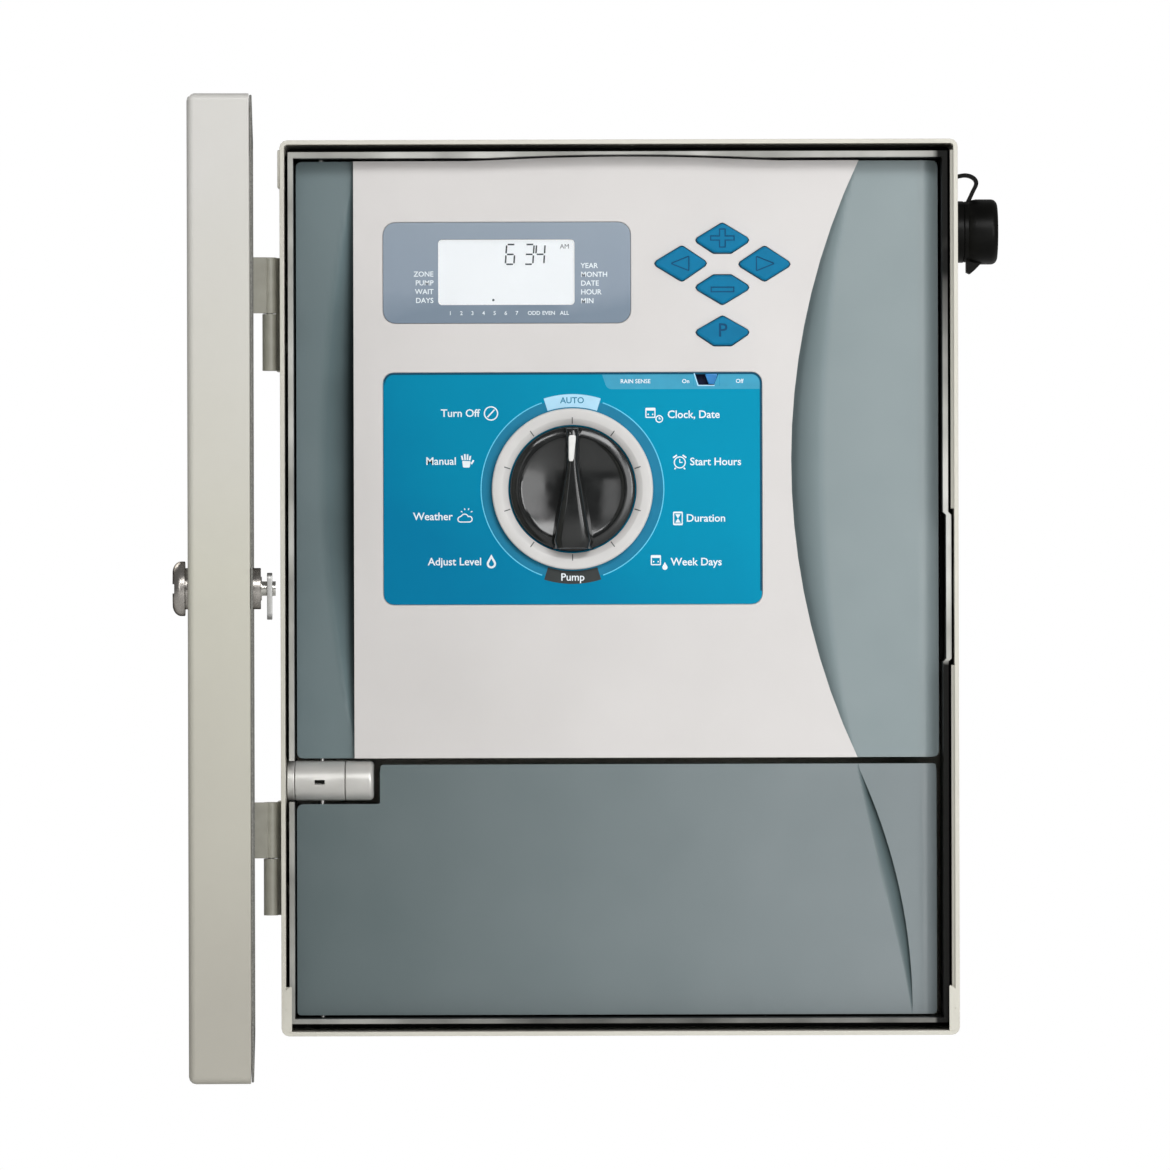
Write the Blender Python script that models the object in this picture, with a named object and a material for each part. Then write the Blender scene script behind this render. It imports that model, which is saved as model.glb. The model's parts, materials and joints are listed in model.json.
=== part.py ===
"""Wall-mounted irrigation controller: a sheet-metal cabinet with its door open, a swing-out panel
frame that carries the facepack, a lower wiring cover, and the electronics behind them.

Sizes and places are in millimetres, drawn in the cabinet's frame with every door shut: X to the
right, Z up, -Y towards the user, origin at the middle of the cabinet's back. add() turns them
into metres and hangs each piece under the empty of its moving group, which sits on the joint's
axis. The door's empty is then turned, so the door stands open.
"""

import math

import bmesh
import bpy
from mathutils import Matrix, Vector

MM = 0.001
GAP = 0.3  # between pieces that rest on each other
FINE = 48  # sides of a large round piece
COARSE = 24  # sides of a small round piece
SHARP = math.radians(35)  # an edge bent further than this is shaded sharp
PAST = 1.0  # how far a cutter runs past the face it cuts

# Cabinet: a folded and welded box
HALF_WIDTH = 153.8
HALF_HEIGHT = 203.2
DEPTH = 100.0
SHEET = 2.0
CORNER = 3.5
INNER_CORNER = 1.5
WALL_HOLE = 3.5  # radius of the screw holes in the back
WALL_HOLES = ((0.0, 178.0), (-118.0, -60.0), (118.0, -60.0))  # X, Z
FILLER_Z = 181.0  # a welded filler closes the gutter beside each corner, from here to the end

# Rim channel: a gutter behind the front rim, then a lip round the opening
LIP_X = (-150.2, -147.8, 146.8, 149.2)  # outer and inner face of each upright
LIP_Z = (-197.75, -195.55, 195.15, 197.95)
LIP_FRONT = -97.5
GUTTER_FLOOR = (-70.0, -68.0)
STRIKE_HALF = 34.0  # the right lip steps outwards over this height each side of the lock
STRIKE_STEP = 1.4
CROWN_X = (-68.0, 73.0)  # the facepack's crown, which the top lip clears
CROWN_RISE = 1.9

# Door: a tray as large as the cabinet, hung on two lift-off hinges
DOOR_BACK = -101.5
DOOR_FRONT = -127.0
DOOR_SHEET = 1.5
DOOR_BEND = 3.0
DOOR_LIP = 7.0
DOOR_OPEN = 87.4  # degrees
DOOR_AXIS = (-158.7, -93.0)
GASKET = (3.6, 1.2)  # width, and thickness with the door shut
GASKET_INSET = 0.6  # from the edge of the door

# Door hinges
KNUCKLE = 3.3
PIN = 1.5
HINGE_HALF = 25.7
HINGES = {"upper": 124.6, "lower": -122.8}
HINGE_LEAF = (-156.0, -154.1)
RIVETS = (-14.9, 14.9)  # above and below the hinge's middle
RIVET_Y = -80.0
RIVET_HOLE = 2.3

# Door lock
LOCK_X = 137.5
LOCK_FLANGE = 11.25
LOCK_BARREL = 8.5
CAM = (-94.5, -92.3)
CAM_REACH = 12.8
CAM_SLOT = 9.0  # half the height of its slot in the lip

# Inner pivots: one upright axis for the panel frame and the wiring cover
PIVOT = (-135.8, -81.0)
PIVOT_PIN = 1.25
BLOCK_Z = (-96.7, -78.7)
BLOCK_X = (-151.4, -147.9, -125.1, -112.2)
BLOCK_FRONT = -92.0
BLOCK_BACK = -76.8

# Panel frame and facepack
FRAME_X = (-147.0, 145.5)
FRAME_Z = (-77.5, 194.3)
FRAME_Y = (-84.0, -81.5)
ARC_CENTRE = (396.6, 57.2)
ARC_RADIUS = 318.3
BEZEL_LEFT = -120.8
BEZEL_Y = (-87.0, -84.3)
POCKET = 1.1  # depth of the recesses for the display panel and the dial label
FILM_Y = (-86.85, -86.1)  # both lie in their recess, just below the bezel's face
CASE_LEFT, CASE_BOTTOM, CASE_TOP = -111.0, -66.0, 182.0
CASE_ARC = ARC_RADIUS + 5.0
CASE_BACK = -57.0
CASE_WALL = 1.8

# Display
DISPLAY = (-107.6, 5.7, 120.2, 166.7)  # left, right, bottom, top
LCD = (-82.2, -20.1, 128.8, 158.6)

# Keys: middle of the key's peak, lowest, widest and highest Z, ends, and half of the flat side
KEY_Y = (-89.0, -82.7)
KEYS = {
    "key_plus": ((35.3, 47.2, 59.1), (152.2, 158.0, 165.6), "flat_below"),
    "key_left": ((16.6, 28.8, 39.8), (139.6, 147.5, 155.2), "diamond"),
    "key_right": ((54.9, 66.4, 77.9), (139.5, 147.0, 155.0), "diamond"),
    "key_minus": ((35.3, 47.2, 59.1), (128.9, 136.5, 142.1), "flat_above"),
    "key_program": ((35.3, 47.2, 59.1), (110.1, 116.1, 123.3), "flat_below"),
}
KEY_FLAT = 3.6
KEY_ROUND = 1.5
KEY_GAP = 0.45

# Dial
LABEL = (-107.6, 65.3, -7.9, 98.2)
DIAL = (-21.3, 44.9)
RING_RADII = (29.2, 31.8, 36.2, 36.7)
KNOB_RADIUS = 28.6
KNOB_FACE = -92.0
KNOB_TOP = -102.0
SHAFT = 3.0
SHAFT_HOLE = 4.5

# Sensor bypass switch
BYPASS_SLOT = (34.3, 45.7, 92.1, 97.5)
BYPASS_SLIDER = (39.0, 45.4)

# Wiring cover
COVER_X = (-147.2, 144.3)
COVER_Z = (-194.6, -82.2)
COVER_NOTCH = (-109.4, -98.4)

# Modules on the backplane, and the bar that locks them
MODULE_LEFT = -46.0
MODULE_WIDTH = 42.0
MODULE_PITCH = 46.0
MODULE_BACK = -12.3
LOCK_BAR_Z = (-101.0, -94.0)

# Plugged conduit entries in the cabinet's floor: X and radius
CONDUITS = {"conduit_plug_left": (-96.0, 14.0), "conduit_plug_right": (90.0, 17.5)}
CONDUIT_Y = -36.0

# Side port
PORT = (-50.0, 163.3)  # Y, Z
PORT_FLANGE = 14.2
PORT_NOSE = 9.0
PORT_THREAD = 9.6
PORT_HOLE = 10.0  # in the cabinet's wall
CAP_X = (159.9, 174.4)
CAP_RADIUS = 15.0
STRAP_RADIUS = 1.1

FINISHES = {  # colour, roughness, metallic
    "cabinet_paint": ((0.66, 0.64, 0.59), 0.45, 0.0),
    "hinge_paint": ((0.27, 0.27, 0.24), 0.5, 0.0),
    "gasket_rubber": ((0.02, 0.02, 0.02), 0.8, 0.0),
    "chrome": ((0.6, 0.6, 0.6), 0.15, 1.0),
    "steel": ((0.45, 0.45, 0.45), 0.35, 1.0),
    "block_plastic": ((0.56, 0.56, 0.54), 0.45, 0.0),
    "panel_plastic": ((0.17, 0.22, 0.23), 0.45, 0.0),
    "bezel_plastic": ((0.64, 0.62, 0.60), 0.4, 0.0),
    "case_plastic": ((0.03, 0.03, 0.03), 0.5, 0.0),
    "display_film": ((0.26, 0.31, 0.38), 0.4, 0.0),
    "clear_window": ((0.9, 0.92, 0.94), 0.05, 0.0),
    "lcd": ((0.85, 0.9, 0.95), 0.3, 0.0),
    "key_rubber": ((0.02, 0.2, 0.4), 0.45, 0.0),
    "label_film": ((0.0, 0.22, 0.42), 0.35, 0.0),
    "slider_plastic": ((0.03, 0.22, 0.42), 0.45, 0.0),
    "ring_plastic": ((0.65, 0.65, 0.66), 0.35, 0.0),
    "knob_plastic": ((0.01, 0.01, 0.01), 0.15, 0.0),
    "circuit_board": ((0.02, 0.12, 0.05), 0.4, 0.0),
    "battery_steel": ((0.6, 0.6, 0.6), 0.25, 1.0),
    "module_plastic": ((0.1, 0.1, 0.11), 0.5, 0.0),
    "transformer_iron": ((0.05, 0.05, 0.05), 0.6, 0.5),
    "port_rubber": ((0.012, 0.012, 0.012), 0.5, 0.0),
}


# ---------------------------------------------------------------- scene and groups


def clear_scene():
    for obj in list(bpy.data.objects):
        bpy.data.objects.remove(obj, do_unlink=True)


def new_collection(name):
    collection = bpy.data.collections.new(name)
    bpy.context.scene.collection.children.link(collection)
    return collection


def finish_of(name):
    found = bpy.data.materials.get(name)
    if found:
        return found
    colour, roughness, metallic = FINISHES[name]
    made = bpy.data.materials.new(name)
    made.use_nodes = True
    shader = made.node_tree.nodes["Principled BSDF"]
    shader.inputs["Base Color"].default_value = (*colour, 1.0)
    shader.inputs["Roughness"].default_value = roughness
    shader.inputs["Metallic"].default_value = metallic
    return made


def group(name, home=(0, 0, 0), parent=None):
    """An empty on a moving group's axis. home is its place with every door shut."""
    empty = bpy.data.objects.new(name, None)
    empty.empty_display_size = 0.02
    PARTS.objects.link(empty)
    empty["home"] = home
    start = Vector(parent["home"]) if parent else Vector()
    empty.parent = parent
    empty.location = (Vector(home) - start) * MM
    return empty


def add(name, mesh, finish, under, collection=None):
    """Link a mesh, drawn in millimetres in the cabinet's frame, under its group's empty."""
    mesh.transform(Matrix.Scale(MM, 4) @ Matrix.Translation(-Vector(under["home"])))
    mesh.name = name
    mesh.materials.clear()
    mesh.materials.append(finish_of(finish))
    mesh.shade_smooth()
    mesh.set_sharp_from_angle(angle=SHARP)
    obj = bpy.data.objects.new(name, mesh)
    (collection or PARTS).objects.link(obj)
    obj.parent = under
    return obj


# ---------------------------------------------------------------- meshes


def mesh_of(bm):
    mesh = bpy.data.meshes.new("mesh")
    bm.to_mesh(mesh)
    bm.free()
    return mesh


def box(x, y, z):
    """A box between two limits along each axis."""
    bm = bmesh.new()
    bmesh.ops.create_cube(bm, size=1)
    limits = [sorted(pair) for pair in (x, y, z)]
    size = [high - low for low, high in limits]
    middle = [(high + low) / 2 for low, high in limits]
    bmesh.ops.scale(bm, vec=size, verts=bm.verts)
    bmesh.ops.translate(bm, vec=middle, verts=bm.verts)
    return mesh_of(bm)


def rod(radius, start, end, sides=COARSE):
    """A cylinder between two points."""
    start, end = Vector(start), Vector(end)
    along = end - start
    bm = bmesh.new()
    bmesh.ops.create_cone(
        bm, cap_ends=True, segments=sides, radius1=radius, radius2=radius, depth=along.length
    )
    turn = along.to_track_quat("Z", "Y").to_matrix().to_4x4()
    bm.transform(Matrix.Translation((start + end) / 2) @ turn)
    return mesh_of(bm)


def turned(profile, axis, at, sides=FINE):
    """A closed profile of (radius, distance along axis) turned about an axis through a point."""
    bm = bmesh.new()
    verts = [bm.verts.new((radius, 0, along)) for radius, along in profile]
    edges = [bm.edges.new((a, b)) for a, b in zip(verts, verts[1:] + verts[:1])]
    bmesh.ops.spin(
        bm,
        geom=verts + edges,
        axis=(0, 0, 1),
        cent=(0, 0, 0),
        angle=math.tau,
        steps=sides,
        use_merge=True,
    )
    bmesh.ops.remove_doubles(bm, verts=bm.verts, dist=1e-4)
    flat = [f for f in bm.faces if f.calc_area() < 1e-8]
    bmesh.ops.delete(bm, geom=flat, context="FACES_ONLY")
    loose = [e for e in bm.edges if not e.link_faces]
    bmesh.ops.delete(bm, geom=loose, context="EDGES")
    bmesh.ops.recalc_face_normals(bm, faces=bm.faces)
    turn = Vector(axis).to_track_quat("Z", "Y").to_matrix().to_4x4()
    bm.transform(Matrix.Translation(at) @ turn)
    return mesh_of(bm)


def closed_mesh(curve, place=Matrix()):
    """A curve's mesh with its caps welded on. The curve is used up."""
    guide = bpy.data.objects.new("guide", curve)
    bpy.context.scene.collection.objects.link(guide)
    graph = bpy.context.evaluated_depsgraph_get()
    mesh = bpy.data.meshes.new_from_object(guide.evaluated_get(graph))
    bpy.data.objects.remove(guide, do_unlink=True)
    bpy.data.curves.remove(curve)
    bm = bmesh.new()
    bm.from_mesh(mesh)
    bmesh.ops.remove_doubles(bm, verts=bm.verts, dist=1e-4)
    bm.transform(place)
    bmesh.ops.recalc_face_normals(bm, faces=bm.faces)
    bm.to_mesh(mesh)
    bm.free()
    return mesh


def plate(outlines, y):
    """Flat outlines of (X, Z) points, holes included, as a plate between two Y values."""
    curve = bpy.data.curves.new("outline", "CURVE")
    curve.dimensions = "2D"
    curve.fill_mode = "BOTH"
    curve.extrude = abs(y[1] - y[0]) / 2
    for outline in outlines:
        spline = curve.splines.new("POLY")
        spline.points.add(len(outline) - 1)
        for point, (px, pz) in zip(spline.points, outline):
            point.co = (px, pz, 0, 1)
        spline.use_cyclic_u = True
    upright = Matrix.Rotation(math.pi / 2, 4, "X")
    return closed_mesh(curve, Matrix.Translation((0, (y[0] + y[1]) / 2, 0)) @ upright)


def tube(points, radius):
    """A round tether through points, with filled ends."""
    curve = bpy.data.curves.new("route", "CURVE")
    curve.dimensions = "3D"
    curve.bevel_depth = radius
    curve.bevel_resolution = 2
    curve.use_fill_caps = True
    spline = curve.splines.new("POLY")
    spline.points.add(len(points) - 1)
    for point, place in zip(spline.points, points):
        point.co = (*place, 1)
    return closed_mesh(curve)


def soften(mesh, width, chosen, either_end=False, steps=3):
    """Round the sharp edges whose ends are chosen: both ends, or either one."""
    test = any if either_end else all
    bm = bmesh.new()
    bm.from_mesh(mesh)
    bmesh.ops.dissolve_limit(bm, angle_limit=0.01, verts=bm.verts, edges=bm.edges)
    edges = [e for e in bm.edges if e.calc_face_angle() > 0.3 and test(map(chosen, e.verts))]
    bmesh.ops.bevel(bm, geom=edges, offset=width, segments=steps, profile=0.5, affect="EDGES")
    bm.to_mesh(mesh)
    bm.free()


# ---------------------------------------------------------------- outlines


def rounded(corners, radius, steps=3):
    """A closed outline with each corner rounded. A corner may give its own radius third."""
    outline = []
    for n, corner in enumerate(corners):
        here = Vector(corner[:2])
        bend = corner[2] if len(corner) > 2 else radius
        if not bend:
            outline.append(tuple(here))
            continue
        back = (Vector(corners[n - 1][:2]) - here).normalized()
        ahead = (Vector(corners[(n + 1) % len(corners)][:2]) - here).normalized()
        half = back.angle(ahead) / 2
        centre = here + (back + ahead).normalized() * bend / math.sin(half)
        start = here + back * bend / math.tan(half) - centre
        turn = start.angle_signed(here + ahead * bend / math.tan(half) - centre)
        for step in range(steps + 1):
            spoke = start.copy()
            spoke.rotate(Matrix.Rotation(-turn * step / steps, 2))
            outline.append(tuple(centre + spoke))
    return outline


def rectangle(left, right, bottom, top, radius=0, steps=3):
    corners = [(left, bottom), (right, bottom), (right, top), (left, top)]
    return rounded(corners, radius, steps)


def arc_side(radius, bottom, top, steps=14):
    """Points up the facepack's hollow right-hand side, from bottom to top."""
    points = []
    for step in range(steps + 1):
        z = bottom + (top - bottom) * step / steps
        reach = math.sqrt(radius**2 - (z - ARC_CENTRE[1]) ** 2)
        points.append((ARC_CENTRE[0] - reach, z))
    return points


def key_outline(ends, heights, shape, grow=0.0):
    """A rounded lozenge. One with a flat side has its point on the other side."""
    left, peak, right = ends
    low, wide, high = heights
    lower = [(peak, low)]
    upper = [(peak, high)]
    if shape == "flat_below":
        lower = [(peak - KEY_FLAT, low), (peak + KEY_FLAT, low)]
    if shape == "flat_above":
        upper = [(peak + KEY_FLAT, high), (peak - KEY_FLAT, high)]
    outline = rounded([(left, wide)] + lower + [(right, wide)] + upper, KEY_ROUND, 2)
    return [
        (stretch(x, [p[0] for p in outline], left - grow, right + grow),
         stretch(z, [p[1] for p in outline], low - grow, high + grow))
        for x, z in outline
    ]


def stretch(value, values, low, high):
    """Move a value so that the span of its values becomes low to high."""
    return low + (value - min(values)) / (max(values) - min(values)) * (high - low)


# ---------------------------------------------------------------- cutting and joining


def boolean(obj, mesh, operation):
    """Cut a mesh from a piece, or join one to it, with a helper that stays out of renders."""
    helper = add(f"{obj.name}_{operation.lower()}", mesh, "steel", obj.parent, HELPERS)
    helper.hide_render = True
    helper.display_type = "WIRE"
    modifier = obj.modifiers.new(operation.title(), "BOOLEAN")
    modifier.operation = operation
    modifier.object = helper
    return obj


def cut(obj, mesh):
    return boolean(obj, mesh, "DIFFERENCE")


def join(obj, mesh):
    return boolean(obj, mesh, "UNION")


# ---------------------------------------------------------------- cabinet


def cabinet():
    outside = rectangle(-HALF_WIDTH, HALF_WIDTH, -HALF_HEIGHT, HALF_HEIGHT, CORNER)
    inner = (HALF_WIDTH - SHEET, HALF_HEIGHT - SHEET)
    inside = rectangle(-inner[0], inner[0], -inner[1], inner[1], INNER_CORNER)
    body = add("cabinet_body", plate([outside], (-DEPTH, 0)), "cabinet_paint", ROOT)
    cut(body, plate([inside], (-DEPTH - PAST, -SHEET)))
    for x, z in WALL_HOLES:
        cut(body, rod(WALL_HOLE, (x, -SHEET - PAST, z), (x, PAST, z)))
    wall = (inner[0] - PAST, HALF_WIDTH + PAST)
    for middle in HINGES.values():
        for offset in RIVETS:
            z = middle + offset
            cut(body, rod(RIVET_HOLE, (-wall[1], RIVET_Y, z), (-wall[0], RIVET_Y, z)))
    cut(body, rod(PORT_HOLE, (wall[0], *PORT), (wall[1], *PORT)))
    floor = (-HALF_HEIGHT - PAST, PAST - inner[1])
    for x, radius in CONDUITS.values():
        cut(body, rod(radius, (x, CONDUIT_Y, floor[0]), (x, CONDUIT_Y, floor[1])))
    weld = 0.5
    for side in (-1, 1):
        for end in (-1, 1):
            x = (side * (inner[0] - INNER_CORNER), side * (inner[0] + weld))
            z = (end * FILLER_Z, end * (inner[1] + weld))
            join(body, box(x, (LIP_FRONT, LIP_FRONT + SHEET), z))


def rim_channel():
    """The gutter's floor and the lip round the opening, one folded and welded frame."""
    outer = HALF_WIDTH - SHEET - GAP
    top = HALF_HEIGHT - SHEET - GAP
    opening = [LIP_X[1], LIP_X[2], LIP_Z[1], LIP_Z[2]]
    floor = plate([rectangle(-outer, outer, -top, top, INNER_CORNER), rectangle(*opening)], GUTTER_FLOOR)
    channel = add("rim_channel", floor, "cabinet_paint", ROOT)
    high, low = STRIKE_HALF, STRIKE_HALF - STRIKE_STEP

    def lip(left, right, bottom, summit):
        """The lip's outline, with the step outwards beside the lock."""
        step = right + STRIKE_STEP
        return [
            (left, bottom),
            (right, bottom),
            (right, -high),
            (step, -low),
            (step, low),
            (right, high),
            (right, summit),
            (left, summit),
        ]

    outlines = [
        lip(LIP_X[0], LIP_X[3], LIP_Z[0], LIP_Z[3]),
        lip(LIP_X[1], LIP_X[2], LIP_Z[1], LIP_Z[2]),
    ]
    join(channel, plate(outlines, (LIP_FRONT, GUTTER_FLOOR[0] + 1)))
    # slot for the lock's cam, notch for the centre hinge block, room for the facepack's crown
    strike = (LIP_X[2] - PAST, LIP_X[3] + STRIKE_STEP + PAST)
    cut(channel, box(strike, (CAM[0] - 1, CAM[1] + 1), (-CAM_SLOT, CAM_SLOT)))
    block = (LIP_X[0] - PAST, LIP_X[1] + PAST)
    height = (BLOCK_Z[0] - GAP, BLOCK_Z[1] + GAP)
    cut(channel, box(block, (LIP_FRONT - PAST, BLOCK_BACK + GAP), height))
    crown = (LIP_Z[2] - PAST, FRAME_Z[1] + CROWN_RISE + 0.4)
    cut(channel, box((CROWN_X[0] - 8, CROWN_X[1] + 8), (LIP_FRONT - PAST, -78), crown))
    for z in ((LIP_Z[2] - PAST, LIP_Z[3] + PAST), (LIP_Z[0] - PAST, LIP_Z[1] + PAST)):
        cut(channel, rod(PIVOT_PIN + 0.2, (*PIVOT, z[0]), (*PIVOT, z[1])))


# ---------------------------------------------------------------- door


def door():
    outside = rectangle(-HALF_WIDTH, HALF_WIDTH, -HALF_HEIGHT, HALF_HEIGHT)
    tray = plate([outside], (DOOR_FRONT, DOOR_BACK))
    soften(tray, DOOR_BEND, lambda v: v.co.y < DOOR_FRONT + 0.1, either_end=True)
    pan = add("door_pan", tray, "cabinet_paint", DOOR)
    inner = (HALF_WIDTH - DOOR_SHEET, HALF_HEIGHT - DOOR_SHEET)
    mouth = (HALF_WIDTH - DOOR_LIP, HALF_HEIGHT - DOOR_LIP)
    room = (DOOR_FRONT + DOOR_SHEET, DOOR_BACK - DOOR_SHEET)
    cut(pan, box((-inner[0], inner[0]), room, (-inner[1], inner[1])))
    cut(pan, box((-mouth[0], mouth[0]), (room[1] - 1, DOOR_BACK + 1), (-mouth[1], mouth[1])))
    cut(pan, box((mouth[0] - 1, mouth[0] + 2), (room[1] - 1, DOOR_BACK + 1), (-12, 12)))
    cut(pan, rod(LOCK_BARREL + GAP, (LOCK_X, DOOR_FRONT - 1, 0), (LOCK_X, room[0] + 1, 0)))
    outer = [HALF_WIDTH - GASKET_INSET, HALF_HEIGHT - GASKET_INSET]
    hole = [outer[0] - GASKET[0], outer[1] - GASKET[0]]
    strip = [
        rectangle(-outer[0], outer[0], -outer[1], outer[1], 2),
        rectangle(-hole[0], hole[0], -hole[1], hole[1], 1),
    ]
    back = DOOR_BACK + 0.2
    add("door_gasket", plate(strip, (back, DOOR_BACK + GASKET[1])), "gasket_rubber", DOOR)


def door_hinge(side, middle):
    """A lift-off hinge: the door's leaf rides on top of the body's leaf, on a fixed pin."""
    x, y = DOOR_AXIS
    top, split, bottom = middle + HINGE_HALF, middle, middle - HINGE_HALF
    bore = PIN + 0.2
    curl = KNUCKLE - (HINGE_LEAF[1] - HINGE_LEAF[0])  # the leaf runs off the knuckle's far side
    cap = 2.0  # closed end of each knuckle
    half = (split + GAP, top)
    knuckle = rod(KNUCKLE, (x, y, half[0]), (x, y, top))
    door_leaf = add(f"{side}_hinge_door_leaf", knuckle, "hinge_paint", DOOR)
    join(door_leaf, box((x, HINGE_LEAF[1]), (y - KNUCKLE, y - curl), half))
    join(door_leaf, box(HINGE_LEAF, (y - 29, y - curl), half))
    cut(door_leaf, rod(bore, (x, y, split - PAST), (x, y, top - cap)))
    half = (bottom, split)
    knuckle = rod(KNUCKLE, (x, y, bottom), (x, y, split))
    body_leaf = add(f"{side}_hinge_body_leaf", knuckle, "hinge_paint", ROOT)
    join(body_leaf, box((x, HINGE_LEAF[1]), (y + curl, y + KNUCKLE), half))
    join(body_leaf, box(HINGE_LEAF, (y + curl, y + 5), half))
    join(body_leaf, box(HINGE_LEAF, (y + 4, y + 23), (bottom, top)))
    cut(body_leaf, rod(bore, (x, y, bottom + cap), (x, y, split + PAST)))
    pin = rod(PIN, (x, y, bottom + cap + GAP), (x, y, top - cap - 2 * GAP))
    add(f"{side}_hinge_pin", pin, "steel", ROOT)
    for number, offset in enumerate(RIVETS, 1):
        z = middle + offset
        through = (HINGE_LEAF[0] - PAST, HINGE_LEAF[1] + PAST)
        cut(body_leaf, rod(RIVET_HOLE, (through[0], RIVET_Y, z), (through[1], RIVET_Y, z)))
        inner = HALF_WIDTH - SHEET - GAP
        outer = -HINGE_LEAF[0] + GAP
        profile = [
            (0, inner - 1),
            (3.2, inner - 1),
            (3.2, inner),
            (RIVET_HOLE - GAP, inner),
            (RIVET_HOLE - GAP, outer),
            (3.4, outer),
            (2.4, outer + 1.1),
            (0, outer + 1.2),
        ]
        rivet = turned(profile, (-1, 0, 0), (0, RIVET_Y, z), 16)
        add(f"{side}_hinge_rivet_{number}", rivet, "hinge_paint", ROOT)


def door_lock():
    """A keyed cam lock: its plug and cam turn together, and the cam's tongue enters the lip's slot."""
    face = DOOR_FRONT - GAP
    back = 97.0
    plug_radius, stud, cam_half = 4.9, 3.0, 6.5
    profile = [
        (plug_radius + GAP, back),
        (LOCK_BARREL, back),
        (LOCK_BARREL, -face),
        (LOCK_FLANGE, -face),
        (LOCK_FLANGE, -face + 2.2),
        (LOCK_FLANGE - 2.2, -face + 4.6),
        (LOCK_FLANGE - 4.0, -face + 5.2),
        (plug_radius + 1.0, -face + 4.4),
        (plug_radius + GAP, -face + 3.2),
    ]
    add("lock_housing", turned(profile, (0, -1, 0), (LOCK_X, 0, 0), 32), "chrome", DOOR)
    nut = rod(13, (LOCK_X, DOOR_FRONT + DOOR_SHEET + GAP, 0), (LOCK_X, DOOR_FRONT + 7, 0), 6)
    nut_bore = rod(LOCK_BARREL + GAP, (LOCK_X, DOOR_FRONT, 0), (LOCK_X, DOOR_FRONT + 8, 0), 32)
    cut(add("lock_nut", nut, "steel", DOOR), nut_bore)
    cylinder = rod(plug_radius, (LOCK_X, face - 3.0, 0), (LOCK_X, 0.4 - back, 0))
    plug = add("lock_plug", cylinder, "chrome", CAM_GROUP)
    join(plug, rod(stud, (LOCK_X, -0.6 - back, 0), (LOCK_X, CAM[1] + 1.4, 0)))
    cut(plug, box((LOCK_X - 0.6, LOCK_X + 0.6), (face - 4, face + 6), (-3.2, 3.2)))
    arm = rectangle(LOCK_X - cam_half, LOCK_X + cam_half, -CAM_REACH, cam_half, 2.5)
    cam = add("lock_cam", plate([arm], CAM), "steel", CAM_GROUP)
    cut(cam, rod(stud + GAP, (LOCK_X, CAM[0] - PAST, 0), (LOCK_X, CAM[1] + PAST, 0)))


# ---------------------------------------------------------------- inner hinge


def barrel(x, round_end=False):
    """A stretch of the hinge block: flat at the back, half round at the front."""
    low, high = BLOCK_Z
    half = (high - low) / 2
    middle = (high + low) / 2
    bow = 9.0
    centre = BLOCK_FRONT + bow
    profile = [(-BLOCK_BACK, low), (-centre, low)]
    for step in range(1, 8):
        angle = math.pi * step / 8
        profile.append((-centre + bow * math.sin(angle), middle - half * math.cos(angle)))
    profile += [(-centre, high), (-BLOCK_BACK, high)]
    mesh = plate([profile], x)
    mesh.transform(Matrix.Rotation(-math.pi / 2, 4, "Z"))
    if round_end:
        soften(mesh, 2.0, lambda v: v.co.x > x[1] - 0.01)
    return mesh


def inner_pivots():
    a, b, c, d = BLOCK_X
    add("hinge_block_base", barrel((a, b - GAP / 2)), "block_plastic", ROOT)
    block = add("hinge_block", barrel((b + GAP / 2, c - GAP / 2)), "block_plastic", ROOT)
    low, high = BLOCK_Z
    cut(block, rod(PIVOT_PIN + 0.2, (*PIVOT, low - 1), (*PIVOT, high + 1)))
    middle = (low + high) / 2 - 0.5
    cut(block, box((-138.9, -134.3), (BLOCK_FRONT - 1, BLOCK_FRONT + 4), (middle - 1, middle + 1)))
    add("hinge_block_cap", barrel((c + GAP / 2, d), round_end=True), "block_plastic", ROOT)
    pin_ends = {
        "frame_pivot_pin": (FRAME_Z[1] - 9, LIP_Z[3] + 0.6),
        "centre_pivot_pin": (COVER_NOTCH[1] - 9, FRAME_Z[0] + 9),
        "cover_pivot_pin": (LIP_Z[0] - 0.6, COVER_Z[0] + 9),
    }
    for name, (low, high) in pin_ends.items():
        add(name, rod(PIVOT_PIN, (*PIVOT, low), (*PIVOT, high), 16), "steel", ROOT)


def pivot_bosses(obj, ends):
    """A boss at each end of a swinging panel, bored for its pivot pin."""
    x, y = PIVOT
    for low, high in ends:
        join(obj, box((x - 4, x + 4), (FRAME_Y[1] - 1, y + 4), (low, high)))
    for low, high in ends:
        cut(obj, rod(PIVOT_PIN + 0.2, (x, y, low - 1), (x, y, high + 1), 16))


# ---------------------------------------------------------------- panel frame and facepack


def case_outline(inset=0.0):
    """The outline of the facepack's rear case, which follows the bezel's hollow side."""
    low, high = CASE_BOTTOM + inset, CASE_TOP - inset
    side = arc_side(CASE_ARC + inset, low, high)
    return [(CASE_LEFT + inset, high), (CASE_LEFT + inset, low)] + side


def panel_frame():
    outline = rectangle(*FRAME_X, *FRAME_Z, 2.5)
    hole = case_outline(-0.8)
    back = FRAME_Y[1] + 5
    frame = add("panel_frame", plate([outline, hole], (FRAME_Y[0], back)), "panel_plastic", PANEL)
    left, right, bottom, top = *FRAME_X, *FRAME_Z
    inner = rectangle(left + 2, right - 2, bottom + 2, top - 2, 1)
    cut(frame, plate([inner], (FRAME_Y[1], back + 1)))
    pivot_bosses(frame, ((top - 10, top - 0.2), (bottom + 0.2, bottom + 10)))


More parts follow.
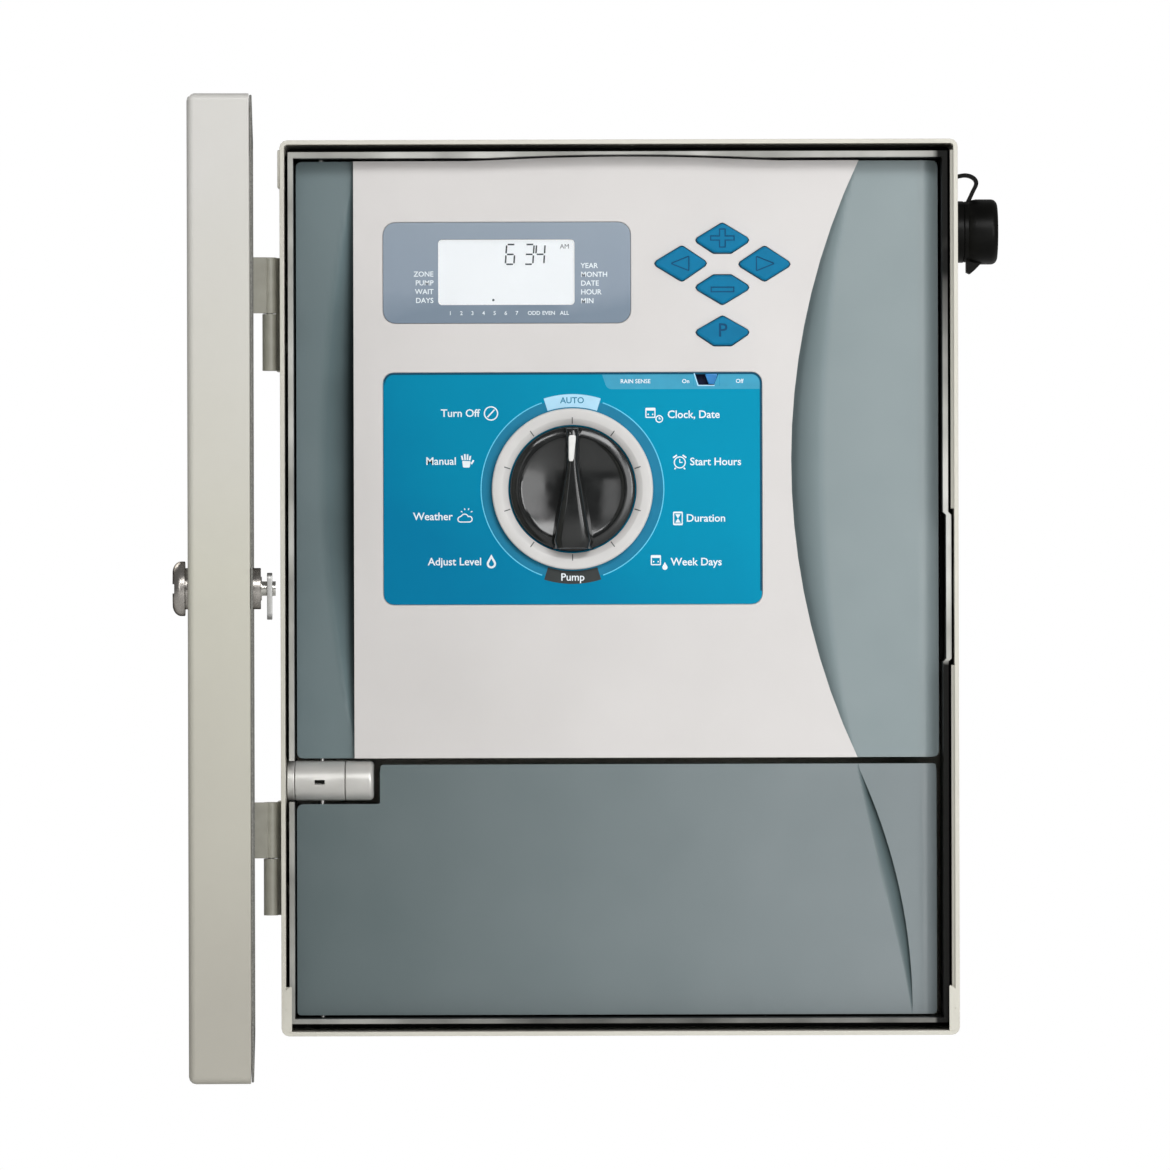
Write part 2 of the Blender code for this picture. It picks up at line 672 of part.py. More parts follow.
def facepack():
    bottom, top = FRAME_Z
    side = arc_side(ARC_RADIUS, bottom, top, 18)
    crown = []
    for step in range(9):
        share = step / 8
        x = CROWN_X[1] + (CROWN_X[0] - CROWN_X[1]) * share
        crown.append((x, top + CROWN_RISE * math.sin(math.pi * share)))
    left = [(BEZEL_LEFT, top), (BEZEL_LEFT, bottom)]
    bezel = add("facepack_bezel", plate([left + side + crown], BEZEL_Y), "bezel_plastic", PANEL)
    front = (BEZEL_Y[0] - 1, BEZEL_Y[0] + POCKET)
    through = (BEZEL_Y[0] - 2, BEZEL_Y[1] + 1)
    cut(bezel, plate([rectangle(*DISPLAY, 6, 5)], front))
    cut(bezel, plate([rectangle(*LCD, 1.5, 2)], through))
    cut(bezel, plate([rectangle(*LABEL, 5, 4)], front))
    cut(bezel, rod(SHAFT_HOLE, (DIAL[0], through[0], DIAL[1]), (DIAL[0], through[1], DIAL[1])))
    cut(bezel, plate([rectangle(*BYPASS_SLOT)], through))
    for ends, heights, shape in KEYS.values():
        cut(bezel, plate([key_outline(ends, heights, shape, KEY_GAP)], through))
    shell = plate([case_outline()], (FRAME_Y[0], CASE_BACK))
    case = add("facepack_case", shell, "case_plastic", PANEL)
    cut(case, plate([case_outline(CASE_WALL)], (FRAME_Y[0] - 1, CASE_BACK - CASE_WALL)))
    cut(case, box((-30, 10), (CASE_BACK - 4, CASE_BACK + 1), (-40, -34)))


def display():
    inset = GAP
    left, right, bottom, top = DISPLAY
    outline = rectangle(left + inset, right - inset, bottom + inset, top - inset, 5.7, 5)
    add("display_panel", plate([outline, rectangle(*LCD, 1.5, 2)], FILM_Y), "display_film", PANEL)
    left, right, bottom, top = LCD
    outline = rectangle(left + inset, right - inset, bottom + inset, top - inset, 1.2, 2)
    add("display_window", plate([outline], (BEZEL_Y[0] + 0.5, BEZEL_Y[1])), "clear_window", PANEL)
    lcd = box((left - 6, right + 6), (BEZEL_Y[1] + GAP, -77.6), (bottom - 5, top + 5))
    add("lcd_module", lcd, "lcd", PANEL)


def keypad():
    for name, (ends, heights, shape) in KEYS.items():
        mesh = plate([key_outline(ends, heights, shape)], KEY_Y)
        add(name, mesh, "key_rubber", KEY_GROUPS[name])
    sheet = [(12, 106), (73, 106), (79.5, 135), (82, 170), (12, 170)]
    add("keypad_membrane", plate([rounded(sheet, 3)], (-81.2, -79.6)), "key_rubber", PANEL)


def dial():
    x, z = DIAL
    left, right, bottom, top = LABEL
    outline = rectangle(left + GAP, right - GAP, bottom + GAP, top - GAP, 4.7, 4)
    sheet = plate([outline, rectangle(*BYPASS_SLOT)], FILM_Y)
    label = add("dial_label", sheet, "label_film", PANEL)
    cut(label, rod(SHAFT_HOLE, (x, FILM_Y[0] - PAST, z), (x, FILM_Y[1] + PAST, z)))
    back = -FILM_Y[0] + GAP
    inner, bevel, shoulder, outer = RING_RADII
    face = 90.6
    ring = [
        (inner, back),
        (outer, back),
        (outer, face - 0.6),
        (shoulder, face),
        (bevel, face),
        (inner, face - 2.0),
    ]
    add("dial_ring", turned(ring, (0, -1, 0), (x, 0, z)), "ring_plastic", PANEL)
    base = back + GAP
    skirt = [
        (0, base),
        (KNOB_RADIUS, base),
        (KNOB_RADIUS, -KNOB_FACE - 0.8),
        (KNOB_RADIUS - 0.8, -KNOB_FACE),
        (0, -KNOB_FACE),
    ]
    knob = add("dial_knob", turned(skirt, (0, -1, 0), (x, 0, z)), "knob_plastic", KNOB)
    right_side = [(x + 3, z + 27), (x + 4.5, z), (x + 8.5, z - 26.5)]
    left_side = [(2 * x - px, pz) for px, pz in reversed(right_side)]
    grip = rounded(right_side + left_side, 2)
    join(knob, plate([grip], (KNOB_TOP, KNOB_FACE + 1)))
    socket = KNOB_TOP + 4
    cut(knob, rod(SHAFT + GAP, (x, PAST - base, z), (x, socket, z)))
    shaft_end = -78.4
    add("knob_shaft", rod(SHAFT, (x, socket + GAP, z), (x, shaft_end, z)), "steel", KNOB)
    switch = add("rotary_switch", rod(13, (x, -83.6, z), (x, -77.2, z), FINE), "case_plastic", PANEL)
    cut(switch, rod(SHAFT + GAP, (x, -83.6 - PAST, z), (x, shaft_end + GAP, z)))


def bypass_slider():
    bottom, top = BYPASS_SLOT[2:]
    thumb = box(BYPASS_SLIDER, (BEZEL_Y[0] - 1.0, -82.6), (bottom + 0.4, top - 0.4))
    add("bypass_slider", thumb, "slider_plastic", BYPASS)


def electronics():
    board = case_outline(CASE_WALL + 1.0)
    add("controller_board", plate([board], (-76.6, -75.0)), "circuit_board", PANEL)
    cell = rod(10, (-80, -74.7, 60), (-80, -71.5, 60), FINE)
    add("backup_battery", cell, "battery_steel", PANEL)


# ---------------------------------------------------------------- wiring cover and what is behind it


def wiring_cover():
    left, right, bottom, top = *COVER_X, *COVER_Z
    notch_x, notch_z = COVER_NOTCH
    outline = [
        (left, bottom),
        (right, bottom),
        (right, top),
        (notch_x, top),
        (notch_x, notch_z, 0.8),
        (left, notch_z, 2.5),
    ]
    inner = [
        (left + 2, bottom + 2),
        (right - 2, bottom + 2),
        (right - 2, top - 2),
        (notch_x + 2, top - 2),
        (notch_x + 2, notch_z - 2),
        (left + 2, notch_z - 2),
    ]
    back = FRAME_Y[1] + 2.5
    shape = plate([rounded(outline, 1.5, 2)], (FRAME_Y[0], back))
    cover = add("wiring_cover", shape, "panel_plastic", COVER)
    cut(cover, plate([rounded(inner, 0.8, 1)], (FRAME_Y[1], back + 1)))
    pivot_bosses(cover, ((notch_z - 10, notch_z - 0.2), (bottom + 0.2, bottom + 10)))


def modules():
    """Power and station modules on the backplane, held by one sliding lock bar."""
    add("backplane_board", box((-52, 142), (-12, -10.4), (-172, -82)), "circuit_board", ROOT)
    names = ("power_module", "station_module_1", "station_module_2")
    for n, name in enumerate(names):
        x = MODULE_LEFT + n * MODULE_PITCH
        case = box((x, x + MODULE_WIDTH), (MODULE_BACK, -44), (-160, -102))
        module = add(name, case, "module_plastic", ROOT)
        terminal_step = box((x - PAST, x + MODULE_WIDTH + PAST), (-36, -45), (-161, -148))
        cut(module, terminal_step)
    end = MODULE_LEFT + 4 * MODULE_PITCH - 12
    bar = box((MODULE_LEFT, end), (MODULE_BACK, -22), LOCK_BAR_Z)
    add("module_lock_slider", bar, "block_plastic", LOCK_BAR)


def power_supply():
    """The transformer, the open-topped box for the mains wires, and the earth connection."""
    back = -SHEET - GAP
    core = add("transformer", box((-140, -66), (back, -40), (20, 84)), "transformer_iron", ROOT)
    join(core, box((-128, -78), (-8, -52), (28, 76)))
    tray = add("junction_box", box((-142, -62), (back, -58), (-190, -112)), "panel_plastic", ROOT)
    cut(tray, box((-140, -64), (back - 2, -56), (-188, -112 + PAST)))
    block = box((-134, -70), (back - 2 - GAP, -22), (-160, -146))
    strip = add("mains_terminal_strip", block, "module_plastic", ROOT)
    wire_hole = 1.8
    for n in range(4):
        x = -127 + 16 * n
        cut(strip, rod(wire_hole, (x, -23, -153), (x, -12, -153), 12))
    lug = add("ground_lug", box((-52, -40), (back, -14), (-196, -184)), "steel", ROOT)
    cut(lug, rod(wire_hole, (-46, -8, -200), (-46, -8, -180), 12))


# ---------------------------------------------------------------- side port and conduit plugs


def conduit_plugs():
    for name, (x, radius) in CONDUITS.items():
        low, wall = HALF_HEIGHT + GAP, HALF_HEIGHT - SHEET
        profile = [
            (0, wall - 1),
            (radius - 1, wall - 1),
            (radius - GAP, low - 1),
            (radius - GAP, low),
            (radius + 2.5, low),
            (radius + 1.8, low + 1.5),
            (0, low + 1.5),
        ]
        add(name, turned(profile, (0, 0, -1), (x, CONDUIT_Y, 0), 32), "case_plastic", ROOT)


def side_port():
    y, z = PORT
    wall = HALF_WIDTH + GAP
    inside = HALF_WIDTH - SHEET - GAP
    profile = [
        (0, inside - 6),
        (PORT_THREAD, inside - 6),
        (PORT_THREAD, wall),
        (PORT_FLANGE, wall),
        (PORT_FLANGE, CAP_X[0] - 1.0),
        (PORT_NOSE, CAP_X[0] - 0.6),
        (PORT_NOSE, CAP_X[1] - 6),
        (0, CAP_X[1] - 6),
    ]
    add("port_connector", turned(profile, (1, 0, 0), (0, y, z)), "port_rubber", ROOT)
    bore = PORT_THREAD + GAP
    nut = [(bore, inside - 4), (13.5, inside - 4), (13.5, inside), (bore, inside)]
    add("port_nut", turned(nut, (1, 0, 0), (0, y, z), COARSE), "block_plastic", ROOT)
    near, far = CAP_X
    cup = [
        (PORT_NOSE + GAP, near),
        (CAP_RADIUS - 0.4, near),
        (CAP_RADIUS, near + 2),
        (CAP_RADIUS - 0.3, far - 6),
        (CAP_RADIUS - 1.6, far - 2.2),
        (CAP_RADIUS - 4.2, far - 0.4),
        (0, far),
        (0, far - 4),
        (PORT_NOSE + GAP, far - 4),
    ]
    cap = add("port_cap", turned(cup, (1, 0, 0), (0, y, z)), "port_rubber", CAP)
    low = z - CAP_RADIUS
    tab = [
        (near + 0.2, low + 2),
        (near + 7, low + 1),
        (near + 2.4, low - 2.6),
        (near + 1.2, low - 4.8),
        (near + 0.2, low - 4.2),
    ]
    join(cap, plate([tab], (y - 3, y + 3)))
    wall_end = Vector((HALF_WIDTH + 1.5, z + 25.4))
    cap_end = Vector((162.0, z + CAP_RADIUS + 1.2))
    leave = wall_end + Vector((7.0, 1.5))
    arrive = cap_end + Vector((6.5, 8.5))
    route = loop(wall_end, leave, arrive, cap_end, y)
    add("cap_strap", tube(route, STRAP_RADIUS), "port_rubber", ROOT)


def loop(start, leave, arrive, end, y, steps=14):
    """Points along a cubic curve in the plane at y."""
    points = []
    for n in range(steps + 1):
        t = n / steps
        weights = ((1 - t) ** 3, 3 * t * (1 - t) ** 2, 3 * t**2 * (1 - t), t**3)
        place = sum((p * w for p, w in zip((start, leave, arrive, end), weights)), Vector((0, 0)))
        points.append((place.x, y, place.y))
    return points


# ---------------------------------------------------------------- assembly

clear_scene()
PARTS = new_collection("irrigation_controller")
HELPERS = new_collection("cutters")
ROOT = group("cabinet")
DOOR = group("door", (*DOOR_AXIS, 0))
CAM_GROUP = group("lock_turning", (LOCK_X, DOOR_FRONT, 0), DOOR)
PANEL = group("panel", (*PIVOT, FRAME_Z[0]))
KNOB = group("knob", (DIAL[0], BEZEL_Y[0], DIAL[1]), PANEL)
KEY_GROUPS = {
    name: group(f"{name}_travel", (ends[1], KEY_Y[0], heights[1]), PANEL)
    for name, (ends, heights, shape) in KEYS.items()
}
BYPASS = group("bypass_travel", (BYPASS_SLIDER[0], BEZEL_Y[0], BYPASS_SLOT[2]), PANEL)
COVER = group("cover", (*PIVOT, COVER_Z[0]))
LOCK_BAR = group("lock_bar_travel", (MODULE_LEFT, MODULE_BACK, LOCK_BAR_Z[0]))
CAP = group("cap_travel", (CAP_X[0], *PORT))
DOOR.rotation_euler.z = -math.radians(DOOR_OPEN)

cabinet()
rim_channel()
door()
for hinge_side, hinge_middle in HINGES.items():
    door_hinge(hinge_side, hinge_middle)
door_lock()
inner_pivots()
panel_frame()
facepack()
display()
keypad()
dial()
bypass_slider()
electronics()
wiring_cover()
modules()
power_supply()
conduit_plugs()
side_port()
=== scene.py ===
"""Irrigation controller: the looks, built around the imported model.

Lengths are in millimetres and turn into metres when a piece is made. The frame is the cabinet's:
X to the right, Z up, -Y towards the user. Pieces of the door are drawn with the door shut and
then turned to where it stands at rest.
"""

import json
import math

import bmesh
import bpy
from mathutils import Matrix, Vector

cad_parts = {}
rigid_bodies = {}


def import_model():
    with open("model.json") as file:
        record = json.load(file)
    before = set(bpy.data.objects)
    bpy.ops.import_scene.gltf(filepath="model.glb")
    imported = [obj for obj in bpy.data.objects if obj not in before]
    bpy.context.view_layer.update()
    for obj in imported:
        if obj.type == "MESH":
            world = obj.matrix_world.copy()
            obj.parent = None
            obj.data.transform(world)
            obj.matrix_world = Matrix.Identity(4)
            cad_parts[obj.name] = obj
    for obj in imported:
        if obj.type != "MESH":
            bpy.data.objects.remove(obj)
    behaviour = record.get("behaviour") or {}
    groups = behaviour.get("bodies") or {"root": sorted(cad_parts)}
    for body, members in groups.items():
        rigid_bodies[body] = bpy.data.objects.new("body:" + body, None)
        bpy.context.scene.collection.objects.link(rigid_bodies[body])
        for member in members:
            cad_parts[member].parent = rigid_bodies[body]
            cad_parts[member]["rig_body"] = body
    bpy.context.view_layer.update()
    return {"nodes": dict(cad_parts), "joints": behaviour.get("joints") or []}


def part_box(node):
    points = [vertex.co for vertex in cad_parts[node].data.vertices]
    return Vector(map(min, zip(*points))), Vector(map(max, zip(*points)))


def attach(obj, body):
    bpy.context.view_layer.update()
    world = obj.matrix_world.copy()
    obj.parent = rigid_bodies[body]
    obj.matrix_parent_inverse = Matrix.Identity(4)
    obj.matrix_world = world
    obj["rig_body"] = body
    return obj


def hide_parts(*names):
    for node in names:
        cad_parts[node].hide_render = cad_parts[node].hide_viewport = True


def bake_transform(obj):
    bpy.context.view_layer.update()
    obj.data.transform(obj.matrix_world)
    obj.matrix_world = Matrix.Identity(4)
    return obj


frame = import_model()

MM = 0.001
PRINT = 0.06  # thickness of printed ink
SHARP = math.radians(32)  # an edge bent further than this is shaded sharp
SOFT = math.cos(SHARP)
FLAT = 0.99999  # cosine between faces that count as one flat stretch
WELD = 0.012  # points closer than this are one point
SLIVER = 1e-4  # a face smaller than this, in mm2, is shaded like its largest neighbour

# The facepack's hollow right-hand side is an arc
ARC_CENTRE = (396.6, 57.2)
ARC_RADIUS = 318.3

# Rings of the dial, from its bore outwards
RING_BORE, RING_BEVEL, RING_SHOULDER = 29.2, 31.8, 36.2
TICKS = 10

MATERIALS = {}


def limits(node):
    """A node's box at rest, as a (low, high) pair along each axis."""
    low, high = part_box(node)
    return [(a / MM, b / MM) for a, b in zip(low, high)]


def middle(pair):
    return (pair[0] + pair[1]) / 2


# ---------------------------------------------------------------- material nodes


def new_material(name, colour, roughness, metallic=0.0, **sockets):
    """A Principled material. Returns it with its tree and shader, for its details to be added."""
    made = bpy.data.materials.new(name)
    made.use_nodes = True
    shader = made.node_tree.nodes["Principled BSDF"]
    shader.inputs["Base Color"].default_value = (*colour, 1.0)
    shader.inputs["Roughness"].default_value = roughness
    shader.inputs["Metallic"].default_value = metallic
    for socket, value in sockets.items():
        shader.inputs[socket.replace("_", " ")].default_value = value
    made.diffuse_color = (*colour, 1.0)
    MATERIALS[name] = made
    return made.node_tree, shader


def place_node(tree, stretch=(1, 1, 1)):
    """The piece's own coordinates in metres, stretched along the axes."""
    where = tree.nodes.new("ShaderNodeTexCoord")
    mapping = tree.nodes.new("ShaderNodeMapping")
    mapping.inputs["Scale"].default_value = stretch
    tree.links.new(where.outputs["Object"], mapping.inputs["Vector"])
    return mapping.outputs["Vector"]


def noise_of(tree, size, detail=3.0, stretch=(1, 1, 1)):
    """Noise with features of about this size in millimetres."""
    texture = tree.nodes.new("ShaderNodeTexNoise")
    texture.inputs["Scale"].default_value = 1.0 / (size * MM)
    texture.inputs["Detail"].default_value = detail
    tree.links.new(place_node(tree, stretch), texture.inputs["Vector"])
    return texture.outputs["Fac"]


def spread(tree, value, low, high, start=0.3, end=0.7):
    """A value between start and end, turned into one between low and high."""
    node = tree.nodes.new("ShaderNodeMapRange")
    for socket, number in zip(("From Min", "From Max", "To Min", "To Max"), (start, end, low, high)):
        node.inputs[socket].default_value = number
    tree.links.new(value, node.inputs["Value"])
    return node.outputs["Result"]


def added(tree, first, second, operation="ADD"):
    """The sum of two values, or what another operation makes of them."""
    node = tree.nodes.new("ShaderNodeMath")
    node.operation = operation
    tree.links.new(first, node.inputs[0])
    tree.links.new(second, node.inputs[1])
    return node.outputs["Value"]


def tint(tree, shader, value, stops):
    """Colour from a ramp of (place, colour) stops."""
    ramp = tree.nodes.new("ShaderNodeValToRGB")
    elements = ramp.color_ramp.elements
    while len(elements) < len(stops):
        elements.new(0.5)
    for element, (place, colour) in zip(elements, stops):
        element.position = place
        element.color = (*colour, 1.0)
    tree.links.new(value, ramp.inputs["Fac"])
    tree.links.new(ramp.outputs["Color"], shader.inputs["Base Color"])
    return ramp


def bump(tree, shader, height, strength, distance):
    """Relief of the surface, at most this many millimetres high."""
    node = tree.nodes.new("ShaderNodeBump")
    node.inputs["Strength"].default_value = strength
    node.inputs["Distance"].default_value = distance * MM
    tree.links.new(height, node.inputs["Height"])
    before = shader.inputs["Normal"].links
    if before:
        tree.links.new(before[0].from_socket, node.inputs["Normal"])
    tree.links.new(node.outputs["Normal"], shader.inputs["Normal"])


def along(tree, axis, start, end):
    """0 to 1 along an axis between two places in millimetres."""
    split = tree.nodes.new("ShaderNodeSeparateXYZ")
    tree.links.new(place_node(tree), split.inputs["Vector"])
    return spread(tree, split.outputs[axis], 0.0, 1.0, start * MM, end * MM)


def shades(colour, change):
    """A colour made darker and lighter by the same share."""
    return tuple(c * (1 - change) for c in colour), tuple(min(1.0, c * (1 + change)) for c in colour)


def moulded(name, colour, roughness, grain, relief, change, patch, **sockets):
    """Moulded plastic or paint: a fine grain, and slow changes of shade and gloss."""
    tree, shader = new_material(name, colour, roughness, **sockets)
    cloud = noise_of(tree, patch, 2.0)
    dark, light = shades(colour, change)
    tint(tree, shader, cloud, [(0.3, dark), (0.7, light)])
    tree.links.new(spread(tree, cloud, roughness - 0.05, roughness + 0.06), shader.inputs["Roughness"])
    if relief:
        bump(tree, shader, noise_of(tree, grain, 2.0), 0.5, relief)
    return tree, shader


def polished_metal(name, colour, roughness, grain=(1, 1, 1), scratch=0.01, edge=1.0):
    """Metal with fine scratches along a grain. An edge below 1 makes it darker where it turns away."""
    tree, shader = new_material(name, colour, roughness, 1.0, Specular_Tint=(edge, edge, edge, 1.0))
    marks = noise_of(tree, 1.5, 4.0, grain)
    dull, bright = shades(colour, 0.1)[0], shades(colour, 0.06)[1]
    tint(tree, shader, noise_of(tree, 9.0), [(0.35, dull), (0.65, bright)])
    tree.links.new(spread(tree, marks, roughness * 0.85, roughness * 1.2), shader.inputs["Roughness"])
    bump(tree, shader, marks, 0.4, scratch)


def foam_material():
    tree, shader = new_material("gasket_foam", (0.15, 0.148, 0.135), 0.85)
    cells = tree.nodes.new("ShaderNodeTexVoronoi")
    cells.inputs["Scale"].default_value = 1400
    tree.links.new(place_node(tree), cells.inputs["Vector"])
    tint(tree, shader, cells.outputs["Distance"], [(0.1, (0.10, 0.099, 0.09)), (0.8, (0.19, 0.188, 0.172))])
    bump(tree, shader, cells.outputs["Distance"], 0.7, 0.15)


def glass_material():
    tree, shader = new_material("clear_window", (0.97, 0.985, 1.0), 0.03, IOR=1.46)
    shader.inputs["Transmission Weight"].default_value = 1.0
    tree.links.new(spread(tree, noise_of(tree, 6.0), 0.02, 0.06), shader.inputs["Roughness"])


def lcd_material():
    """A display that glows with painted light, standing in for the light that would reach it through the
    window. The glow changes a little at random.
    """
    tree, shader = new_material("lcd_painted_glow", (0.2, 0.21, 0.22), 0.4)
    glow = (0.97, 0.985, 0.985)
    ramp = tint(tree, shader, noise_of(tree, 25.0, 1.0), [(0.3, shades(glow, 0.03)[0]), (0.7, glow)])
    tree.links.new(ramp.outputs["Color"], shader.inputs["Emission Color"])
    tree.links.remove(shader.inputs["Base Color"].links[0])
    shader.inputs["Emission Strength"].default_value = 0.82


def height_shaded(name, colour, roughness, node, patch, waver, stops, grain, relief):
    """Film or paint with painted shade that changes with the height on a node, a little unevenly."""
    tree, shader = new_material(name, colour, roughness)
    height = along(tree, "Z", *limits(node)[2])
    shade = added(tree, height, spread(tree, noise_of(tree, patch, 2.0), -waver, waver))
    tint(tree, shader, shade, stops)
    bump(tree, shader, noise_of(tree, grain, 2.0), *relief)


def height_shaded_materials():
    """The display's film and the door's paint, both with painted shade that darkens them towards the
    bottom, where less light falls.
    """
    film = [(0.1, (0.165, 0.22, 0.285)), (0.35, (0.23, 0.285, 0.355)), (1.0, (0.25, 0.305, 0.37))]
    height_shaded("display_film", (0.245, 0.30, 0.37), 0.4, "display_panel", 20.0, 0.1, film, 0.3, (0.4, 0.01))
    paint = [(0.05, (0.345, 0.33, 0.285)), (0.5, (0.45, 0.44, 0.375)), (0.95, (0.51, 0.50, 0.475))]
    height_shaded("door_paint_shaded", (0.56, 0.55, 0.49), 0.42, "door_pan", 70.0, 0.05, paint, 0.9, (0.5, 0.02))


def label_material():
    """Blue film, paler to the upper right."""
    tree, shader = new_material("label_blue", (0.0, 0.2, 0.36), 0.4, Specular_IOR_Level=0.06)
    x, _, z = limits("dial_label")
    wave = spread(tree, noise_of(tree, 60.0, 1.0), -0.2, 0.2, 0.25, 0.75)
    rise = spread(tree, along(tree, "Z", *z), -0.25, 0.3, 0.0, 1.0)
    shade = added(tree, added(tree, along(tree, "X", *x), wave), rise)
    stops = [(0.0, (0.0, 0.185, 0.355)), (0.5, (0.0, 0.235, 0.40)), (1.0, (0.0, 0.27, 0.44))]
    tint(tree, shader, shade, stops)
    bump(tree, shader, noise_of(tree, 0.35, 2.0), 0.3, 0.01)


def board_material():
    """Green solder mask over traces."""
    tree, shader = new_material("board_mask", (0.02, 0.13, 0.05), 0.32)
    bricks = tree.nodes.new("ShaderNodeTexBrick")
    bricks.offset = 0.5
    bricks.inputs["Scale"].default_value = 120
    bricks.inputs["Mortar Size"].default_value = 0.03
    turn = tree.nodes.new("ShaderNodeMapping")
    turn.inputs["Rotation"].default_value = (math.pi / 2, 0, 0)
    tree.links.new(place_node(tree), turn.inputs["Vector"])
    tree.links.new(turn.outputs["Vector"], bricks.inputs["Vector"])
    bricks.inputs["Color1"].default_value = (0.016, 0.11, 0.04, 1)
    bricks.inputs["Color2"].default_value = (0.02, 0.14, 0.055, 1)
    bricks.inputs["Mortar"].default_value = (0.04, 0.21, 0.08, 1)
    tree.links.new(bricks.outputs["Color"], shader.inputs["Base Color"])
    bump(tree, shader, bricks.outputs["Fac"], 0.3, 0.03)


def striped_material(name, colour, roughness, metallic, axis, scale, waver, stops, relief):
    """Fine stripes across an axis: the edges of stacked sheets, or turns of wire."""
    tree, shader = new_material(name, colour, roughness, metallic)
    stripes = tree.nodes.new("ShaderNodeTexWave")
    stripes.bands_direction = axis
    stripes.inputs["Scale"].default_value = scale
    stripes.inputs["Distortion"].default_value = waver
    tree.links.new(place_node(tree), stripes.inputs["Vector"])
    tint(tree, shader, stripes.outputs["Fac"], stops)
    bump(tree, shader, stripes.outputs["Fac"], *relief)


def transformer_materials():
    """Varnished iron sheets, stacked along Y, and enamelled wire, wound about an upright axis."""
    sheets = [(0.2, (0.02, 0.02, 0.022)), (0.9, (0.075, 0.075, 0.08))]
    striped_material("laminations", (0.045, 0.045, 0.048), 0.5, 0.4, "Y", 700, 0.4, sheets, (0.5, 0.08))
    turns = [(0.1, (0.12, 0.035, 0.01)), (0.9, (0.42, 0.15, 0.05))]
    striped_material("winding", (0.3, 0.1, 0.03), 0.35, 0.8, "Z", 480, 0.6, turns, (0.6, 0.12))


def lip_material():
    """The lip's grey paint with painted shade: dark down in the gutter, at the bottom and up the right-hand
    side, brightest beside the lock, and less glossy where the painted shade is deepest.
    """
    tree, shader = new_material("lip_paint_shaded", (0.2, 0.2, 0.185), 0.33)
    x, y, z = limits("rim_channel")
    lock_top, top, lock_bottom, dim_from, dim_to = 60, 175, -33, -115, -40
    foot = along(tree, "Z", z[0] + 12, z[0] + 5)
    low = added(tree, foot, along(tree, "X", dim_from, dim_to), "MULTIPLY")
    upper = spread(tree, along(tree, "Z", lock_top, top), -0.15, 1.0, 0.0, 1.0)
    lower = spread(tree, along(tree, "Z", lock_bottom, lock_bottom - 4), 0.0, 1.4, 0.0, 1.0)
    right = added(tree, along(tree, "X", x[1] - 9, x[1] - 5), added(tree, upper, lower), "MULTIPLY")
    total = spread(tree, noise_of(tree, 30.0, 2.0), -0.18, 0.18)
    # Painted shade deepens down into the gutter
    gutter = along(tree, "Y", y[0] + 0.3, y[0] + 6.0)
    for value in (gutter, right, spread(tree, low, 0.0, 0.5, 0.0, 1.0)):
        total = added(tree, total, value)
    shade = spread(tree, total, 0.0, 1.0, -0.3, 0.8)
    stops = [(0.0, (0.62, 0.62, 0.59)), (0.27, (0.36, 0.36, 0.335))]
    stops += [(0.5, (0.2, 0.2, 0.186)), (1.0, (0.01, 0.01, 0.0095))]
    tint(tree, shader, shade, stops)
    tree.links.new(spread(tree, shade, 0.5, 0.05, 0.5, 0.95), shader.inputs["Specular IOR Level"])
    bump(tree, shader, noise_of(tree, 0.9, 2.0), 0.4, 0.02)


def panel_material(name, node, left, centre, right):
    """Grey-green plastic with painted light and shade: a painted sheen makes it lighter towards a part's
    right, and painted shade makes it darker and less glossy down in a scoop.
    """
    tree, shader = new_material(name, centre, 0.38)
    scoop = tree.nodes.new("ShaderNodeAttribute")
    scoop.attribute_name = "scoop"
    across = spread(tree, along(tree, "X", *limits(node)[0]), 0.25, 1.0, 0.0, 1.0)
    cloudy = added(tree, across, spread(tree, noise_of(tree, 45.0, 2.0), -0.04, 0.04))
    shade = added(tree, cloudy, scoop.outputs["Fac"], "SUBTRACT")
    tint(tree, shader, shade, [(0.0, shades(left, 0.62)[0]), (0.25, left), (0.62, centre), (1.0, right)])
    tree.links.new(spread(tree, noise_of(tree, 30.0, 2.0), 0.33, 0.43), shader.inputs["Roughness"])
    gloss = spread(tree, scoop.outputs["Fac"], 0.5, 0.0, 0.0, 0.08)
    tree.links.new(gloss, shader.inputs["Specular IOR Level"])
    bump(tree, shader, noise_of(tree, 0.45, 2.0), 0.5, 0.018)


# What is printed, and the painted shadow and painted highlight on the label: colour, roughness, change of
# shade, size of its patches and gloss
INKS = {
    "ink_white": ((0.78, 0.84, 0.88), 0.5, 0.03, 4.0, 0.5),
    "ink_pale_blue": ((0.40, 0.68, 0.86), 0.5, 0.04, 6.0, 0.5),
    "ink_sky_blue": ((0.05, 0.33, 0.50), 0.5, 0.04, 6.0, 0.15),
    "edge_shadow_blue": ((0.004, 0.07, 0.13), 0.5, 0.06, 8.0, 0.1),
    "ink_line_blue": ((0.10, 0.56, 0.80), 0.5, 0.04, 6.0, 0.5),
    "ink_ring_blue": ((0.01, 0.19, 0.33), 0.42, 0.05, 10.0, 0.15),
    "ink_dark": ((0.035, 0.04, 0.04), 0.5, 0.06, 5.0, 0.2),
    "ink_grey": ((0.09, 0.1, 0.105), 0.5, 0.06, 5.0, 0.5),
    "lcd_ink": ((0.03, 0.045, 0.05), 0.6, 0.05, 5.0, 0.5),
}


